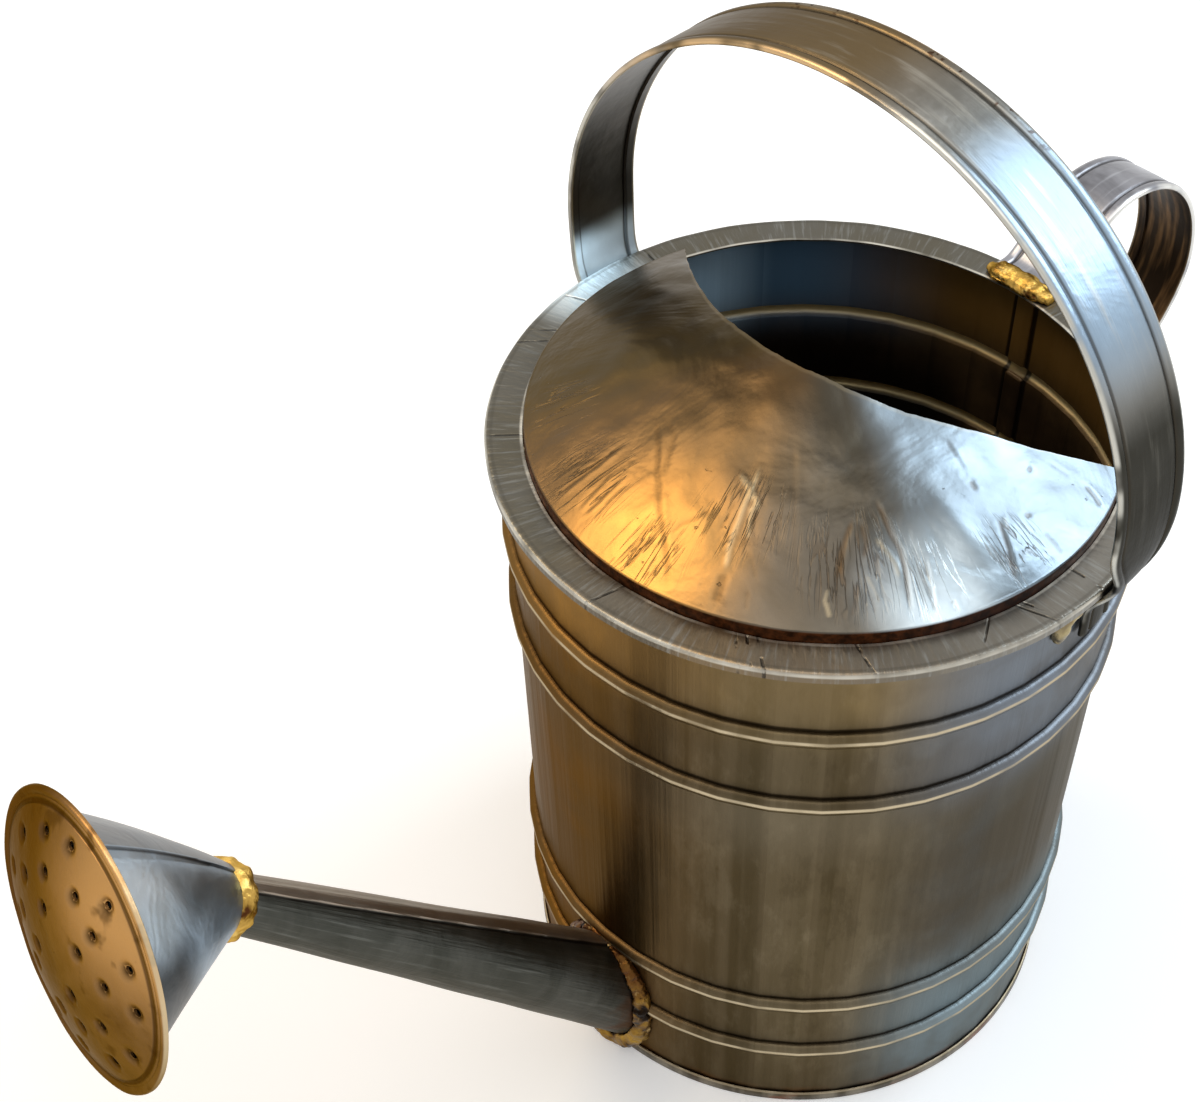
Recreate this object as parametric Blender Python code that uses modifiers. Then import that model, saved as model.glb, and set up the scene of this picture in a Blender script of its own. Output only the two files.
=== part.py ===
"""Rusty watering can: a rolled sheet-metal can with a hood, two strap handles, a spout and a rose.

Metres, +Z up. The origin is on the can's axis, level with the rim that it stands on.
The spout points along +X, the tall hoop handle stands across it, in the Y-Z plane.
"""
import math
import random

import bmesh
import bpy
from mathutils import Matrix, Vector
from mathutils.geometry import interpolate_bezier

# Sheet and clearances
SHEET = 0.0009                 # galvanised sheet of the can, the spout and the rose
GAP = 0.0003                   # between pieces that touch

# Can body
CAN_HEIGHT = 0.270             # top face of the collar above the floor
FOOT_RADIUS = 0.105            # outside of the wall at the floor
TOP_RADIUS = 0.110             # outside of the wall under the collar
UPPER_BEADS = (0.0387, 0.0745)  # below the top face of the collar
LOWER_BEADS = (0.0701, 0.0380)  # above the floor
BEAD_HALF = 0.0035             # half the height of a swaged bead
BEAD_PROUD = 0.0030            # how far a bead stands out of the wall
SEAM_WIDTH = 0.0084            # lock seam, folded inside at the back
SEAM_THICKNESS = 0.0012
SEAM_TURN = math.radians(176)

# Bottom plate, hemmed round the foot of the wall
RECESS = 0.003                 # underside above the floor
HEM_HEIGHT = 0.005

# Collar and hood
COLLAR_OVERHANG = 0.0062       # outside of the collar past the wall
COLLAR_WIDTH = 0.0132
COLLAR_DROP = 0.0040           # height of its turned-down edge
HOOD_SKIRT = 0.0046            # upright edge of the hood above the collar
HOOD_RISE = 0.032              # rise of the dome to its middle
HOOD_CURVE = 1.6               # 1 is a cone, 2 a paraboloid
HOOD_EDGE_X = -0.0410          # where the free edge meets the collar
HOOD_EDGE_BOW = 0.0560         # how far the free edge bows towards the spout
HOOD_TURN = math.radians(6)
HOOD_MIDDLE = 0.08             # share of its radius left flat at the top, cut away by the opening

# Straps: hemmed edges folded under
HEM = 0.0042
HEM_STEP = 0.0008              # width of the step where the folded sheet ends
STRAP = 0.0010
FOLD = 0.0019                  # thickness over the folded edge

# Hoop handle
HOOP_WIDTH = 0.032
HOOP_X = -0.0076               # middle of the strap along the spout's direction
HOOP_CLEARANCE = 0.0063        # legs outside the collar
HOOP_SHIFT = 0.0030            # the hoop leans to the +Y side
HOOP_SPRING = 0.031            # start of the arch above the collar
HOOP_RISE = 0.1124             # top of the arch above its spring
HOOP_FOOT = 0.0100             # length of strap soldered to the wall
HOOP_FOOT_DROP = 0.0120        # top of the foot below the collar's edge
HOOP_FLARE = (0.0045, 0.0085)  # way, out and up, that the leg takes past the collar
HOOP_LEAD = 0.0180             # straight lead of the leg into the arch
HOOP_TAPER = 0.0360            # height below the arch over which the strap narrows
RIGHT_FOOT_WIDTH = 0.018
LEFT_FOOT_WIDTH = 0.029

# Rear handle
REAR_WIDTH = 0.027
REAR_CREST = 0.0233            # top of the loop above the collar
REAR_CREST_X = 0.0358          # crest behind the collar's edge
REAR_REACH = 0.0886            # back of the loop behind the collar's edge
REAR_BACK_DROP = 0.0310        # widest point of the loop below the collar
REAR_FOOT_HEIGHT = 0.128       # top of the foot that lies on the wall
REAR_FOOT = 0.0140
REAR_TAB = 0.0070              # tab brazed on the collar
REAR_SET_IN = 0.0015           # bend of the tab inside the collar's edge
REAR_EASE = (0.007, 0.018, 0.045, 0.030)   # pull of the curve at tab, crest, back and foot
REAR_ROUND = (0.56, 0.54)      # fullness of the bend from crest to back
REAR_DISH = 0.090              # height over which the strap takes the wall's curve

# Spout
SPOUT_LOW = 0.0025             # lowest edge of its joint with the wall, above the floor
SPOUT_RISE = math.radians(53.6)
SPOUT_LENGTH = 0.2546          # from the wall to the neck
SPOUT_ROOT_RADIUS = 0.0187
SPOUT_NECK_RADIUS = 0.0089
SPOUT_ENTRY = 0.0025           # how far the spout enters the rose
ROOT_SPARE = 1.1               # widest cut at the spout's root, as a share of its radius

# Rose
NECK_TILT = math.radians(40)   # direction that the neck's opening faces
NECK_RADIUS = 0.0108           # outside of the cone's small end
ROSE_LENGTH = 0.0490           # from the neck to the middle of the face's rim
ROSE_RISE = math.radians(27.8)
FACE_TILT = math.radians(13.6)
FACE_TURN = math.radians(-4.6)
FACE_RADIUS = 0.0460
DOME_RADIUS = 0.0425
DOME_HEIGHT = 0.0080
CONE_MOUTH_RADIUS = 0.0403
FACE_SHEET = 0.0008
FACE_LIP = 0.0016              # rim turned back
HOLE_RADIUS = 0.0013
HOLE_RINGS = ((4, 0.0133, 40), (10, 0.0240, 12), (13, 0.0350, 8))

# Braze and solder
ROOT_BRAZE = 0.0048
NECK_BRAZE = 0.0031
TAB_BRAZE = 0.0036
SOLDER = 0.0034
SOLDER_DROP = 0.0045           # solder on the wall below the collar's edge
DRIP_RUN = 0.0120              # how far the right foot's solder runs along the wall
DRIP_FALL = 0.0110             # how far it then runs down
FILL_RUN = 0.0140              # how far the left foot's solder runs along the wall
BRAZE_LIFT = 0.0010            # middle of a braze above the sheet that it lies on

# Facets
STEPS = 56
TUBE_STEPS = 28
ROSE_STEPS = 40
BRAZE_STEPS = 8

# How far a cutter reaches past what it cuts
PAST = 0.020

# Sizes that follow from the others
COLLAR_RADIUS = TOP_RADIUS + COLLAR_OVERHANG
MOUTH_RADIUS = COLLAR_RADIUS - COLLAR_WIDTH
WALL_TOP = CAN_HEIGHT - SHEET - GAP
WALL_FOOT = SHEET + GAP
BEAD_HEIGHTS = [CAN_HEIGHT - drop for drop in UPPER_BEADS] + list(LOWER_BEADS)
TAPER = (SPOUT_NECK_RADIUS - SPOUT_ROOT_RADIUS) / SPOUT_LENGTH

GALVANISED = ((0.23, 0.22, 0.19), 0.42, 1.0)
DULL_STEEL = ((0.17, 0.18, 0.18), 0.45, 1.0)
BRIGHT_STEEL = ((0.36, 0.36, 0.34), 0.36, 1.0)
AGED_BRASS = ((0.42, 0.25, 0.10), 0.40, 1.0)
BRAZE_METAL = ((0.50, 0.34, 0.12), 0.35, 1.0)


# Building blocks

def start_scene():
    for old in list(bpy.data.objects):
        bpy.data.objects.remove(old)
    parts = bpy.data.collections.new("watering_can")
    cutters = bpy.data.collections.new("cutters")
    bpy.context.scene.collection.children.link(parts)
    bpy.context.scene.collection.children.link(cutters)
    return parts, cutters


def finish_of(name, finish):
    colour, roughness, metallic = finish
    material = bpy.data.materials.new(name)
    material.use_nodes = True
    shader = material.node_tree.nodes["Principled BSDF"]
    shader.inputs["Base Color"].default_value = (*colour, 1.0)
    shader.inputs["Roughness"].default_value = roughness
    shader.inputs["Metallic"].default_value = metallic
    return material


def new_object(name, mesh, finish=None):
    """A part when it has a finish, otherwise a cutter that stays out of the model."""
    piece = bpy.data.objects.new(name, mesh)
    if finish:
        PARTS.objects.link(piece)
        mesh.materials.append(finish_of(name + "_finish", finish))
        piece.parent = FRAME
    else:
        CUTTERS.objects.link(piece)
        piece.hide_render = True
        piece.display_type = "WIRE"
    mesh.shade_smooth()
    mesh.set_sharp_from_angle(angle=math.radians(38))
    return piece


def mesh_from(name, bm):
    mesh = bpy.data.meshes.new(name)
    bm.to_mesh(mesh)
    bm.free()
    return mesh


def turned(name, outline, finish=None, ring=False, steps=STEPS):
    """Turn an outline of (radius, height) points, top to bottom down its outer side."""
    bm = bmesh.new()
    verts = [bm.verts.new((r, 0, z)) for r, z in outline]
    for first, second in zip(verts, verts[1:]):
        bm.edges.new((first, second))
    if ring:
        bm.edges.new((verts[-1], verts[0]))
    piece = new_object(name, mesh_from(name, bm), finish)
    screw = piece.modifiers.new("turn", "SCREW")
    screw.steps = steps
    screw.render_steps = steps
    screw.use_merge_vertices = True
    screw.merge_threshold = 0.00001
    return piece


def loft(name, rings, finish=None, closed=False):
    """Skin between rings that each hold the same number of points."""
    bm = bmesh.new()
    rows = [[bm.verts.new(p) for p in ring] for ring in rings]
    pairs = list(zip(rows, rows[1:]))
    if closed:
        pairs.append((rows[-1], rows[0]))
    for row, after in pairs:
        count = len(row)
        for i in range(count):
            j = (i + 1) % count
            bm.faces.new((row[i], row[j], after[j], after[i]))
    if not closed:
        bm.faces.new(rows[0])
        bm.faces.new(rows[-1])
    bmesh.ops.recalc_face_normals(bm, faces=bm.faces)
    return new_object(name, mesh_from(name, bm), finish)


def frustum(name, start, direction, radii, reach, finish=None, steps=TUBE_STEPS):
    """Solid taper along a line, from reach[0] to reach[1] past its start."""
    first, last = reach
    bm = bmesh.new()
    bmesh.ops.create_cone(bm, cap_ends=True, segments=steps, radius1=radii[0],
                          radius2=radii[1], depth=last - first)
    middle = start + direction * (first + last) / 2
    turn = direction.to_track_quat("Z", "Y").to_matrix().to_4x4()
    piece = new_object(name, mesh_from(name, bm), finish)
    piece.matrix_world = Matrix.Translation(middle) @ turn
    return piece


def block(name, face_centre, normal, size):
    """Cube whose one face is centred on a point, the rest of it lying along the normal."""
    bm = bmesh.new()
    bmesh.ops.create_cube(bm, size=size)
    piece = new_object(name, mesh_from(name, bm))
    turn = normal.to_track_quat("Z", "Y").to_matrix().to_4x4()
    piece.matrix_world = Matrix.Translation(face_centre + normal * size / 2) @ turn
    return piece


def combine(piece, other, operation="DIFFERENCE"):
    change = piece.modifiers.new(other.name, "BOOLEAN")
    change.operation = operation
    change.solver = "EXACT"
    change.object = other


def circle(centre, first, second, radius, count=BRAZE_STEPS):
    """Points of a circle in the plane of two unit vectors."""
    turns = [math.tau * i / count for i in range(count)]
    return [centre + (first * math.cos(a) + second * math.sin(a)) * radius for a in turns]


# Wall of the can, as a profile that its neighbours share

def wall_radius(z):
    return FOOT_RADIUS + (TOP_RADIUS - FOOT_RADIUS) * z / CAN_HEIGHT


def wall_outline(offset=0.0):
    """Outside of the wall with its four beads, moved outwards by an offset."""
    points = [(wall_radius(WALL_TOP) + offset, WALL_TOP)]
    for height in BEAD_HEIGHTS:
        for i in range(5):
            a = math.pi * i / 4
            z = height + BEAD_HALF * math.cos(a)
            points.append((wall_radius(z) + BEAD_PROUD * math.sin(a) + offset, z))
    points.append((wall_radius(WALL_FOOT) + offset, WALL_FOOT))
    return points


def hem_inside():
    return wall_radius(HEM_HEIGHT) + GAP


def can_and_gap():
    """Solid that fills the can and its hem out to a gap, to cut what sits against it."""
    hem = hem_inside() + SHEET + GAP
    sides = wall_outline(GAP)[:-1]
    foot = [(hem_inside(), HEM_HEIGHT + GAP), (hem, HEM_HEIGHT + GAP), (hem, -PAST), (0, -PAST)]
    return turned("can_space", [(0, WALL_TOP)] + sides + foot)


# Straps: hemmed section carried along a path

def strap_section(low, high, grow=0.0):
    """(across, out) points of a strap with both edges folded under, grown all round."""
    outer = [(-grow, -0.0007), (0.0006 - grow, 0.0001), (HEM - HEM_STEP, 0.0002),
             (HEM, -0.0005), (HEM + HEM_STEP, 0)]
    inner = [(HEM + HEM_STEP + grow, -STRAP), (HEM + grow, -FOLD), (0.0005 - grow, -FOLD)]
    out = [(low + e, n + grow) for e, n in outer]
    out += [(high - e, n + grow) for e, n in reversed(outer)]
    back = [(high - e, n - grow) for e, n in reversed(inner)]
    back += [(low + e, n - grow) for e, n in inner]
    return out + back


def bezier(start, start_handle, end_handle, end, count):
    points = interpolate_bezier(start, start_handle, end_handle, end, count)
    return [p.to_2d() for p in points]


def normals_along(path):
    """Outward normals of a path that runs with its outer side on its right."""
    found = []
    for i in range(len(path)):
        ahead = path[min(i + 1, len(path) - 1)]
        behind = path[max(i - 1, 0)]
        along = (ahead - behind).normalized()
        found.append(Vector((along.y, -along.x)))
    return found


def lengthened(path, extra):
    """The same path with both ends carried straight on."""
    first = path[0] + (path[0] - path[1]).normalized() * extra
    last = path[-1] + (path[-1] - path[-2]).normalized() * extra
    return [first] + path[1:-1] + [last]


def smooth(value):
    value = min(max(value, 0.0), 1.0)
    return value * value * (3 - 2 * value)


def hoop_leg(half_span):
    """One leg from its foot on the wall up to the arch, as (outwards, up)."""
    rest = wall_radius(CAN_HEIGHT) + GAP + FOLD
    skirt = COLLAR_RADIUS + GAP + FOLD
    edge = CAN_HEIGHT - COLLAR_DROP
    foot_top = edge - HOOP_FOOT_DROP
    flare = Vector(HOOP_FLARE)
    low = bezier(Vector((rest, foot_top)), Vector((rest, foot_top + HOOP_FOOT_DROP / 3)),
                 Vector((skirt, edge)) - flare / 2, Vector((skirt, edge)), 6)
    top = CAN_HEIGHT + HOOP_SPRING
    high = bezier(Vector((skirt, edge)), Vector((skirt, edge)) + flare,
                  Vector((half_span, top - HOOP_LEAD)), Vector((half_span, top)), 9)
    return [Vector((rest, foot_top - HOOP_FOOT))] + low + high[1:]


def hoop_path():
    """Outer face of the hoop in the Y-Z plane, from the +Y foot over to the -Y foot."""
    half = COLLAR_RADIUS + HOOP_CLEARANCE
    right = hoop_leg(half + HOOP_SHIFT)
    left = hoop_leg(half - HOOP_SHIFT)
    arch = []
    for i in range(1, 28):
        a = math.pi * i / 28
        arch.append(Vector((HOOP_SHIFT + half * math.cos(a),
                            CAN_HEIGHT + HOOP_SPRING + HOOP_RISE * math.sin(a))))
    return right + arch + [Vector((-p.x, p.y)) for p in reversed(left)]


def hoop_handle(name, finish=None, grow=0.0):
    """The feet are dished to the round wall, and narrow on the spout's side."""
    path = lengthened(hoop_path(), grow)
    rings = []
    far = HOOP_X - HOOP_WIDTH / 2
    for point, normal in zip(path, normals_along(path)):
        to_foot = smooth((CAN_HEIGHT + HOOP_SPRING - point.y) / HOOP_TAPER)
        foot_width = RIGHT_FOOT_WIDTH if point.x > 0 else LEFT_FOOT_WIDTH
        width = HOOP_WIDTH + (foot_width - HOOP_WIDTH) * to_foot
        side = math.copysign(1, point.x)
        ring = []
        for across, out in strap_section(far, far + width, grow):
            reach = abs(point.x)
            dish = to_foot * (reach - math.sqrt(max(reach ** 2 - across ** 2, 0)))
            ring.append((across, point.x + normal.x * out - side * dish,
                         point.y + normal.y * out))
        rings.append(ring)
    return loft(name, rings, finish)


def rear_path():
    """Outer face of the rear loop in the X-Z plane, from its tab on the collar to its foot."""
    edge = -COLLAR_RADIUS
    lie = CAN_HEIGHT + GAP + FOLD
    tab_end = Vector((edge + REAR_SET_IN, lie))
    crest = Vector((edge - REAR_CREST_X, CAN_HEIGHT + REAR_CREST))
    back = Vector((edge - REAR_REACH, CAN_HEIGHT - REAR_BACK_DROP))
    foot = Vector((-(wall_radius(REAR_FOOT_HEIGHT) + GAP + FOLD), REAR_FOOT_HEIGHT))
    at_tab, at_crest, at_back, at_foot = REAR_EASE
    out = Vector(((crest.x - back.x) * REAR_ROUND[0], 0))
    drop = Vector((0, (crest.y - back.y) * REAR_ROUND[1]))
    up = bezier(tab_end, tab_end - Vector((at_tab, 0)), crest + Vector((at_crest, 0)), crest, 9)
    over = bezier(crest, crest - out, back + drop, back, 11)
    down = bezier(back, back - Vector((0, at_back)), foot + Vector((0, at_foot)), foot, 15)
    end = foot - Vector((0, REAR_FOOT))
    end.x = -(wall_radius(end.y) + GAP + FOLD)
    start = tab_end + Vector((REAR_TAB, 0))
    return [start] + up + over[1:] + down[1:] + [end]


def rear_handle(name, finish=None, grow=0.0):
    path = lengthened(rear_path(), grow)
    rings = []
    for point, normal in zip(path, normals_along(path)):
        to_foot = smooth((CAN_HEIGHT - REAR_BACK_DROP - point.y) / REAR_DISH)
        ring = []
        for across, out in strap_section(-REAR_WIDTH / 2, REAR_WIDTH / 2, grow):
            reach = abs(point.x)
            dish = to_foot * (reach - math.sqrt(reach ** 2 - across ** 2))
            ring.append((point.x + normal.x * out + dish, across, point.y + normal.y * out))
        rings.append(ring)
    return loft(name, rings, finish)


# Lumpy braze: circles carried along a line, then cut to seat on its neighbours

def braze(name, line, radius, seed, finish, closed=False):
    rng = random.Random(seed)
    count = len(line)
    rings = []
    for i in range(count):
        ahead = line[(i + 1) % count] if closed else line[min(i + 1, count - 1)]
        behind = line[i - 1] if closed else line[max(i - 1, 0)]
        along = (ahead - behind).normalized()
        side = along.orthogonal().normalized() if i == 0 else None
        if side is None:
            side = (last_side - along * last_side.dot(along)).normalized()
        last_side = side
        swell = radius * rng.uniform(0.86, 1.14)
        if not closed:
            ends = min(i, count - 1 - i) / (count - 1)
            swell *= 0.45 + 0.55 * smooth(ends * 5)
        rings.append(circle(line[i], side, along.cross(side), swell))
    return loft(name, rings, finish, closed)


# Spout and rose

def spout_axis():
    """Point where it leaves the beads of the wall, and its direction."""
    direction = Vector((math.cos(SPOUT_RISE), 0, math.sin(SPOUT_RISE)))
    height = SPOUT_LOW + SPOUT_ROOT_RADIUS / direction.x + BEAD_PROUD * math.tan(SPOUT_RISE)
    root = Vector((wall_radius(SPOUT_LOW) + BEAD_PROUD, 0, height))
    return root, direction


def spout_solid(name, grow, first, last, finish=None):
    """Solid of the spout's outside, grown or shrunk all round."""
    root, direction = spout_axis()
    radii = [SPOUT_ROOT_RADIUS + grow + TAPER * s for s in (first, last)]
    return frustum(name, root, direction, radii, (first, last), finish)


def start_inside():
    """How far back the taper starts, so that all of its first end is inside the wall."""
    direction = spout_axis()[1]
    widest = SPOUT_ROOT_RADIUS * ROOT_SPARE
    return (BEAD_PROUD + widest * direction.z) / direction.x


def rose_frame():
    """Neck centre, neck direction, face centre and face direction."""
    root, direction = spout_axis()
    neck = root + direction * SPOUT_LENGTH
    neck_way = Vector((math.cos(NECK_TILT), 0, math.sin(NECK_TILT)))
    to_face = Vector((math.cos(ROSE_RISE), 0, math.sin(ROSE_RISE)))
    face_way = Vector((math.cos(FACE_TILT) * math.cos(FACE_TURN),
                       math.cos(FACE_TILT) * math.sin(FACE_TURN), math.sin(FACE_TILT)))
    return neck, neck_way, neck + to_face * ROSE_LENGTH, face_way


def rose_rings(grow):
    """Slanted cone from the small neck to the mouth behind the face."""
    neck, neck_way, face, face_way = rose_frame()
    mouth = face - face_way * (GAP + SHEET * 0.6)
    rings = []
    for share in (0.0, 0.35, 0.7, 1.0):
        way = neck_way.lerp(face_way, share).normalized()
        side = Vector((0, 0, 1)).cross(way).normalized()
        radius = NECK_RADIUS + (CONE_MOUTH_RADIUS - NECK_RADIUS) * share + grow
        rings.append(circle(neck.lerp(mouth, share), side, way.cross(side), radius, ROSE_STEPS))
    return rings


def rose_cone(name, finish):
    """The cone is an open skin made thick inwards."""
    bm = bmesh.new()
    rows = [[bm.verts.new(p) for p in ring] for ring in rose_rings(0.0)]
    for row, after in zip(rows, rows[1:]):
        for i in range(len(row)):
            j = (i + 1) % len(row)
            bm.faces.new((row[i], row[j], after[j], after[i]))
    piece = new_object(name, mesh_from(name, bm), finish)
    wall = piece.modifiers.new("sheet", "SOLIDIFY")
    wall.thickness = SHEET
    wall.offset = -1
    return piece


def face_outline():
    """Domed brass disc with its rim turned back, from the middle of its front round to its back."""
    def dome(r):
        return DOME_HEIGHT * (1 - (r / DOME_RADIUS) ** 2)
    radii = [DOME_RADIUS * i / 5 for i in range(6)]
    front = [(r, dome(r)) for r in radii]
    rim = [(FACE_RADIUS - 0.0006, 0.0), (FACE_RADIUS, -0.0006),
           (FACE_RADIUS, -FACE_LIP), (FACE_RADIUS - FACE_SHEET, -FACE_LIP),
           (FACE_RADIUS - FACE_SHEET, -FACE_SHEET)]
    back = [(r, dome(r) - FACE_SHEET) for r in reversed(radii)]
    return front + rim + back


def rose_face(name, finish):
    face, face_way = rose_frame()[2:]
    piece = turned(name, face_outline(), finish, steps=ROSE_STEPS)
    turn = face_way.to_track_quat("Z", "Y").to_matrix().to_4x4()
    piece.matrix_world = Matrix.Translation(face) @ turn
    rng = random.Random(27)
    bm = bmesh.new()
    for count, radius, start in HOLE_RINGS:
        for i in range(count):
            a = math.tau * i / count + math.radians(start + rng.uniform(-5, 5))
            r = radius + rng.uniform(-0.0012, 0.0012)
            place = Matrix.Translation((r * math.cos(a), r * math.sin(a), DOME_HEIGHT / 2))
            bmesh.ops.create_cone(bm, cap_ends=True, segments=6, radius1=HOLE_RADIUS,
                                  radius2=HOLE_RADIUS, depth=2 * DOME_HEIGHT, matrix=place)
    punches = new_object("rose_punches", mesh_from("rose_punches", bm))
    punches.matrix_world = piece.matrix_world
    combine(piece, punches)
    return piece


def root_braze_line(count=26):
    """Where the outside of the spout meets the beads of the wall half way, all round."""
    root, direction = spout_axis()
    side = Vector((0, 1, 0))
    up = direction.cross(side)
    line = []
    for i in range(count):
        a = math.tau * i / count
        spoke = side * math.cos(a) + up * math.sin(a)
        s = 0.0
        for _ in range(20):
            p = root + direction * s + spoke * (SPOUT_ROOT_RADIUS + TAPER * s)
            s -= (math.hypot(p.x, p.y) - wall_radius(p.z) - BEAD_PROUD / 2) / direction.x
        line.append(p)
    return line


def on_wall(turn, z, out=0.0):
    """Point beside the wall at an angle round the can."""
    r = wall_radius(z) + out
    return Vector((r * math.cos(turn), r * math.sin(turn), z))


def along_line(points, count):
    """Even stations along straight runs between a few points."""
    stations = []
    for i in range(count):
        place = i / (count - 1) * (len(points) - 1)
        low = min(int(place), len(points) - 2)
        stations.append(points[low].lerp(points[low + 1], place - low))
    return stations


# The object

def lock_seam():
    """Folded strip inside the wall, which follows its beads down to the bottom plate."""
    floor = RECESS + SHEET + GAP
    outline = wall_outline(-SHEET / 2)[:-1] + [(wall_radius(floor) - SHEET / 2, floor)]
    thick = SHEET / 2 + SEAM_THICKNESS
    outline += [(r - thick, z) for r, z in reversed(outline)]
    width = SEAM_WIDTH / TOP_RADIUS
    rings = []
    for turn in (SEAM_TURN, SEAM_TURN + width / 2, SEAM_TURN + width):
        rings.append([(r * math.cos(turn), r * math.sin(turn), z) for r, z in outline])
    return loft("lock_seam", rings)


def body_and_bottom():
    wall = turned("body_shell", wall_outline(), GALVANISED)
    sheet = wall.modifiers.new("sheet", "SOLIDIFY")
    sheet.thickness = SHEET
    sheet.offset = -1
    combine(wall, lock_seam(), "UNION")
    inside = FOOT_RADIUS - SHEET - GAP
    outside = hem_inside()
    turned("bottom_plate", [
        (0, RECESS + SHEET), (inside, RECESS + SHEET), (inside, SHEET), (outside, SHEET),
        (outside, HEM_HEIGHT), (outside + SHEET, HEM_HEIGHT), (outside + SHEET, 0),
        (inside - SHEET, 0), (inside - SHEET, RECESS), (0, RECESS)], GALVANISED)
    return wall


def collar_and_hood():
    under = CAN_HEIGHT - SHEET
    turned("top_collar", [
        (MOUTH_RADIUS, CAN_HEIGHT), (COLLAR_RADIUS - 0.0010, CAN_HEIGHT),
        (COLLAR_RADIUS, CAN_HEIGHT - 0.0008), (COLLAR_RADIUS, CAN_HEIGHT - COLLAR_DROP),
        (COLLAR_RADIUS - SHEET, CAN_HEIGHT - COLLAR_DROP), (COLLAR_RADIUS - SHEET, under),
        (MOUTH_RADIUS, under)], GALVANISED, ring=True)
    rim = MOUTH_RADIUS - GAP
    rim_top = CAN_HEIGHT + HOOD_SKIRT
    dome = []
    for i in range(9):
        share = HOOD_MIDDLE + (1 - HOOD_MIDDLE) * i / 8
        dome.append((rim * share, rim_top + HOOD_RISE * (1 - share ** HOOD_CURVE)))
    hood = turned("hood", dome + [(rim, under)], BRIGHT_STEEL)
    sheet = hood.modifiers.new("sheet", "SOLIDIFY")
    sheet.thickness = SHEET
    sheet.offset = -1
    combine(hood, hood_cutter(rim))


def hood_cutter(rim):
    """Upright prism behind the free edge, which bows towards the spout."""
    half = math.sqrt(rim ** 2 - HOOD_EDGE_X ** 2)
    outline = []
    for i in range(17):
        t = -1 + 2 * i / 16
        outline.append((HOOD_EDGE_X + HOOD_EDGE_BOW * (1 - t * t), half * t))
    slope = 2 * HOOD_EDGE_BOW / half
    outline.insert(0, (HOOD_EDGE_X - slope * PAST, -half - PAST))
    outline.append((HOOD_EDGE_X - slope * PAST, half + PAST))
    outline += [(-2 * rim, 2 * rim), (-2 * rim, -2 * rim)]
    top = CAN_HEIGHT + HOOD_RISE + PAST
    rings = [[(x, y, z) for x, y in outline] for z in (CAN_HEIGHT - PAST, top)]
    cutter = loft("hood_opening", rings)
    cutter.rotation_euler.z = HOOD_TURN
    return cutter


def spout_and_rose(wall, can_space):
    tuck = start_inside()
    bore = spout_solid("spout_bore", -SHEET, -tuck - PAST / 2, SPOUT_LENGTH + PAST)
    combine(wall, bore)
    spout = spout_solid("spout_tube", 0.0, -tuck, SPOUT_LENGTH + SPOUT_ENTRY, DULL_STEEL)
    combine(spout, bore)
    combine(spout, can_space)
    rose_cone("rose_cone", DULL_STEEL)
    rose_face("rose_face", AGED_BRASS)


def seat(piece, spaces):
    for space in spaces:
        combine(piece, space)


def spout_brazes(can_space):
    spout_space = spout_solid("spout_space", GAP, -start_inside() - PAST, SPOUT_LENGTH + PAST / 2)
    floor = block("floor_space", Vector((TOP_RADIUS, 0, 2 * GAP)), Vector((0, 0, -1)), 5 * PAST)
    root = braze("spout_root_braze", root_braze_line(), ROOT_BRAZE, 3, BRAZE_METAL, closed=True)
    seat(root, (can_space, spout_space, floor))
    neck, neck_way = rose_frame()[:2]
    side = Vector((0, 1, 0))
    line = circle(neck - neck_way * BRAZE_LIFT, side, neck_way.cross(side), NECK_RADIUS, 22)
    ring = braze("rose_neck_braze", line, NECK_BRAZE, 5, BRAZE_METAL, closed=True)
    seat(ring, (spout_space, loft("rose_space", rose_rings(GAP))))


def collar_and_gap():
    top = CAN_HEIGHT + GAP
    low = CAN_HEIGHT - COLLAR_DROP - GAP
    rim = COLLAR_RADIUS + GAP
    return turned("collar_space", [(0, top), (rim, top), (rim, low), (0, low)])


def hoop_solders(spaces):
    """On the right it runs from the foot's narrow side and down, on the left it fills that side."""
    z = CAN_HEIGHT - COLLAR_DROP - SOLDER_DROP
    near = HOOP_X - HOOP_WIDTH / 2
    right = math.pi / 2 - (near + RIGHT_FOOT_WIDTH) / TOP_RADIUS
    run = DRIP_RUN / TOP_RADIUS
    start = on_wall(right, z, BRAZE_LIFT)
    bend = on_wall(right - run, z, BRAZE_LIFT)
    end = on_wall(right - run, z - DRIP_FALL, BRAZE_LIFT)
    drip = interpolate_bezier(start, bend, bend, end, 11)
    seat(braze("hoop_solder_right", drip, SOLDER, 7, BRAZE_METAL), spaces)
    left = near / TOP_RADIUS - math.pi / 2
    run = FILL_RUN / TOP_RADIUS
    fill = [on_wall(left, z - SOLDER_DROP, BRAZE_LIFT), on_wall(left - run, z, BRAZE_LIFT)]
    seat(braze("hoop_solder_left", along_line(fill, 9), SOLDER, 9, GALVANISED), spaces)


def rear_brazes(spaces):
    end = REAR_SET_IN + REAR_TAB - COLLAR_RADIUS
    half = REAR_WIDTH / 2
    reach = half + TAB_BRAZE
    top = [Vector((end, side * reach, CAN_HEIGHT + BRAZE_LIFT)) for side in (-1, 1)]
    seat(braze("rear_handle_top_braze", along_line(top, 15), TAB_BRAZE, 11, BRAZE_METAL), spaces)
    z = REAR_FOOT_HEIGHT - REAR_FOOT
    spread = half / wall_radius(z)
    low = [on_wall(math.pi + side * spread, z, BRAZE_LIFT) for side in (-1, 1)]
    seat(braze("rear_handle_foot_braze", along_line(low, 11), SOLDER, 13, BRAZE_METAL), spaces)


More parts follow.
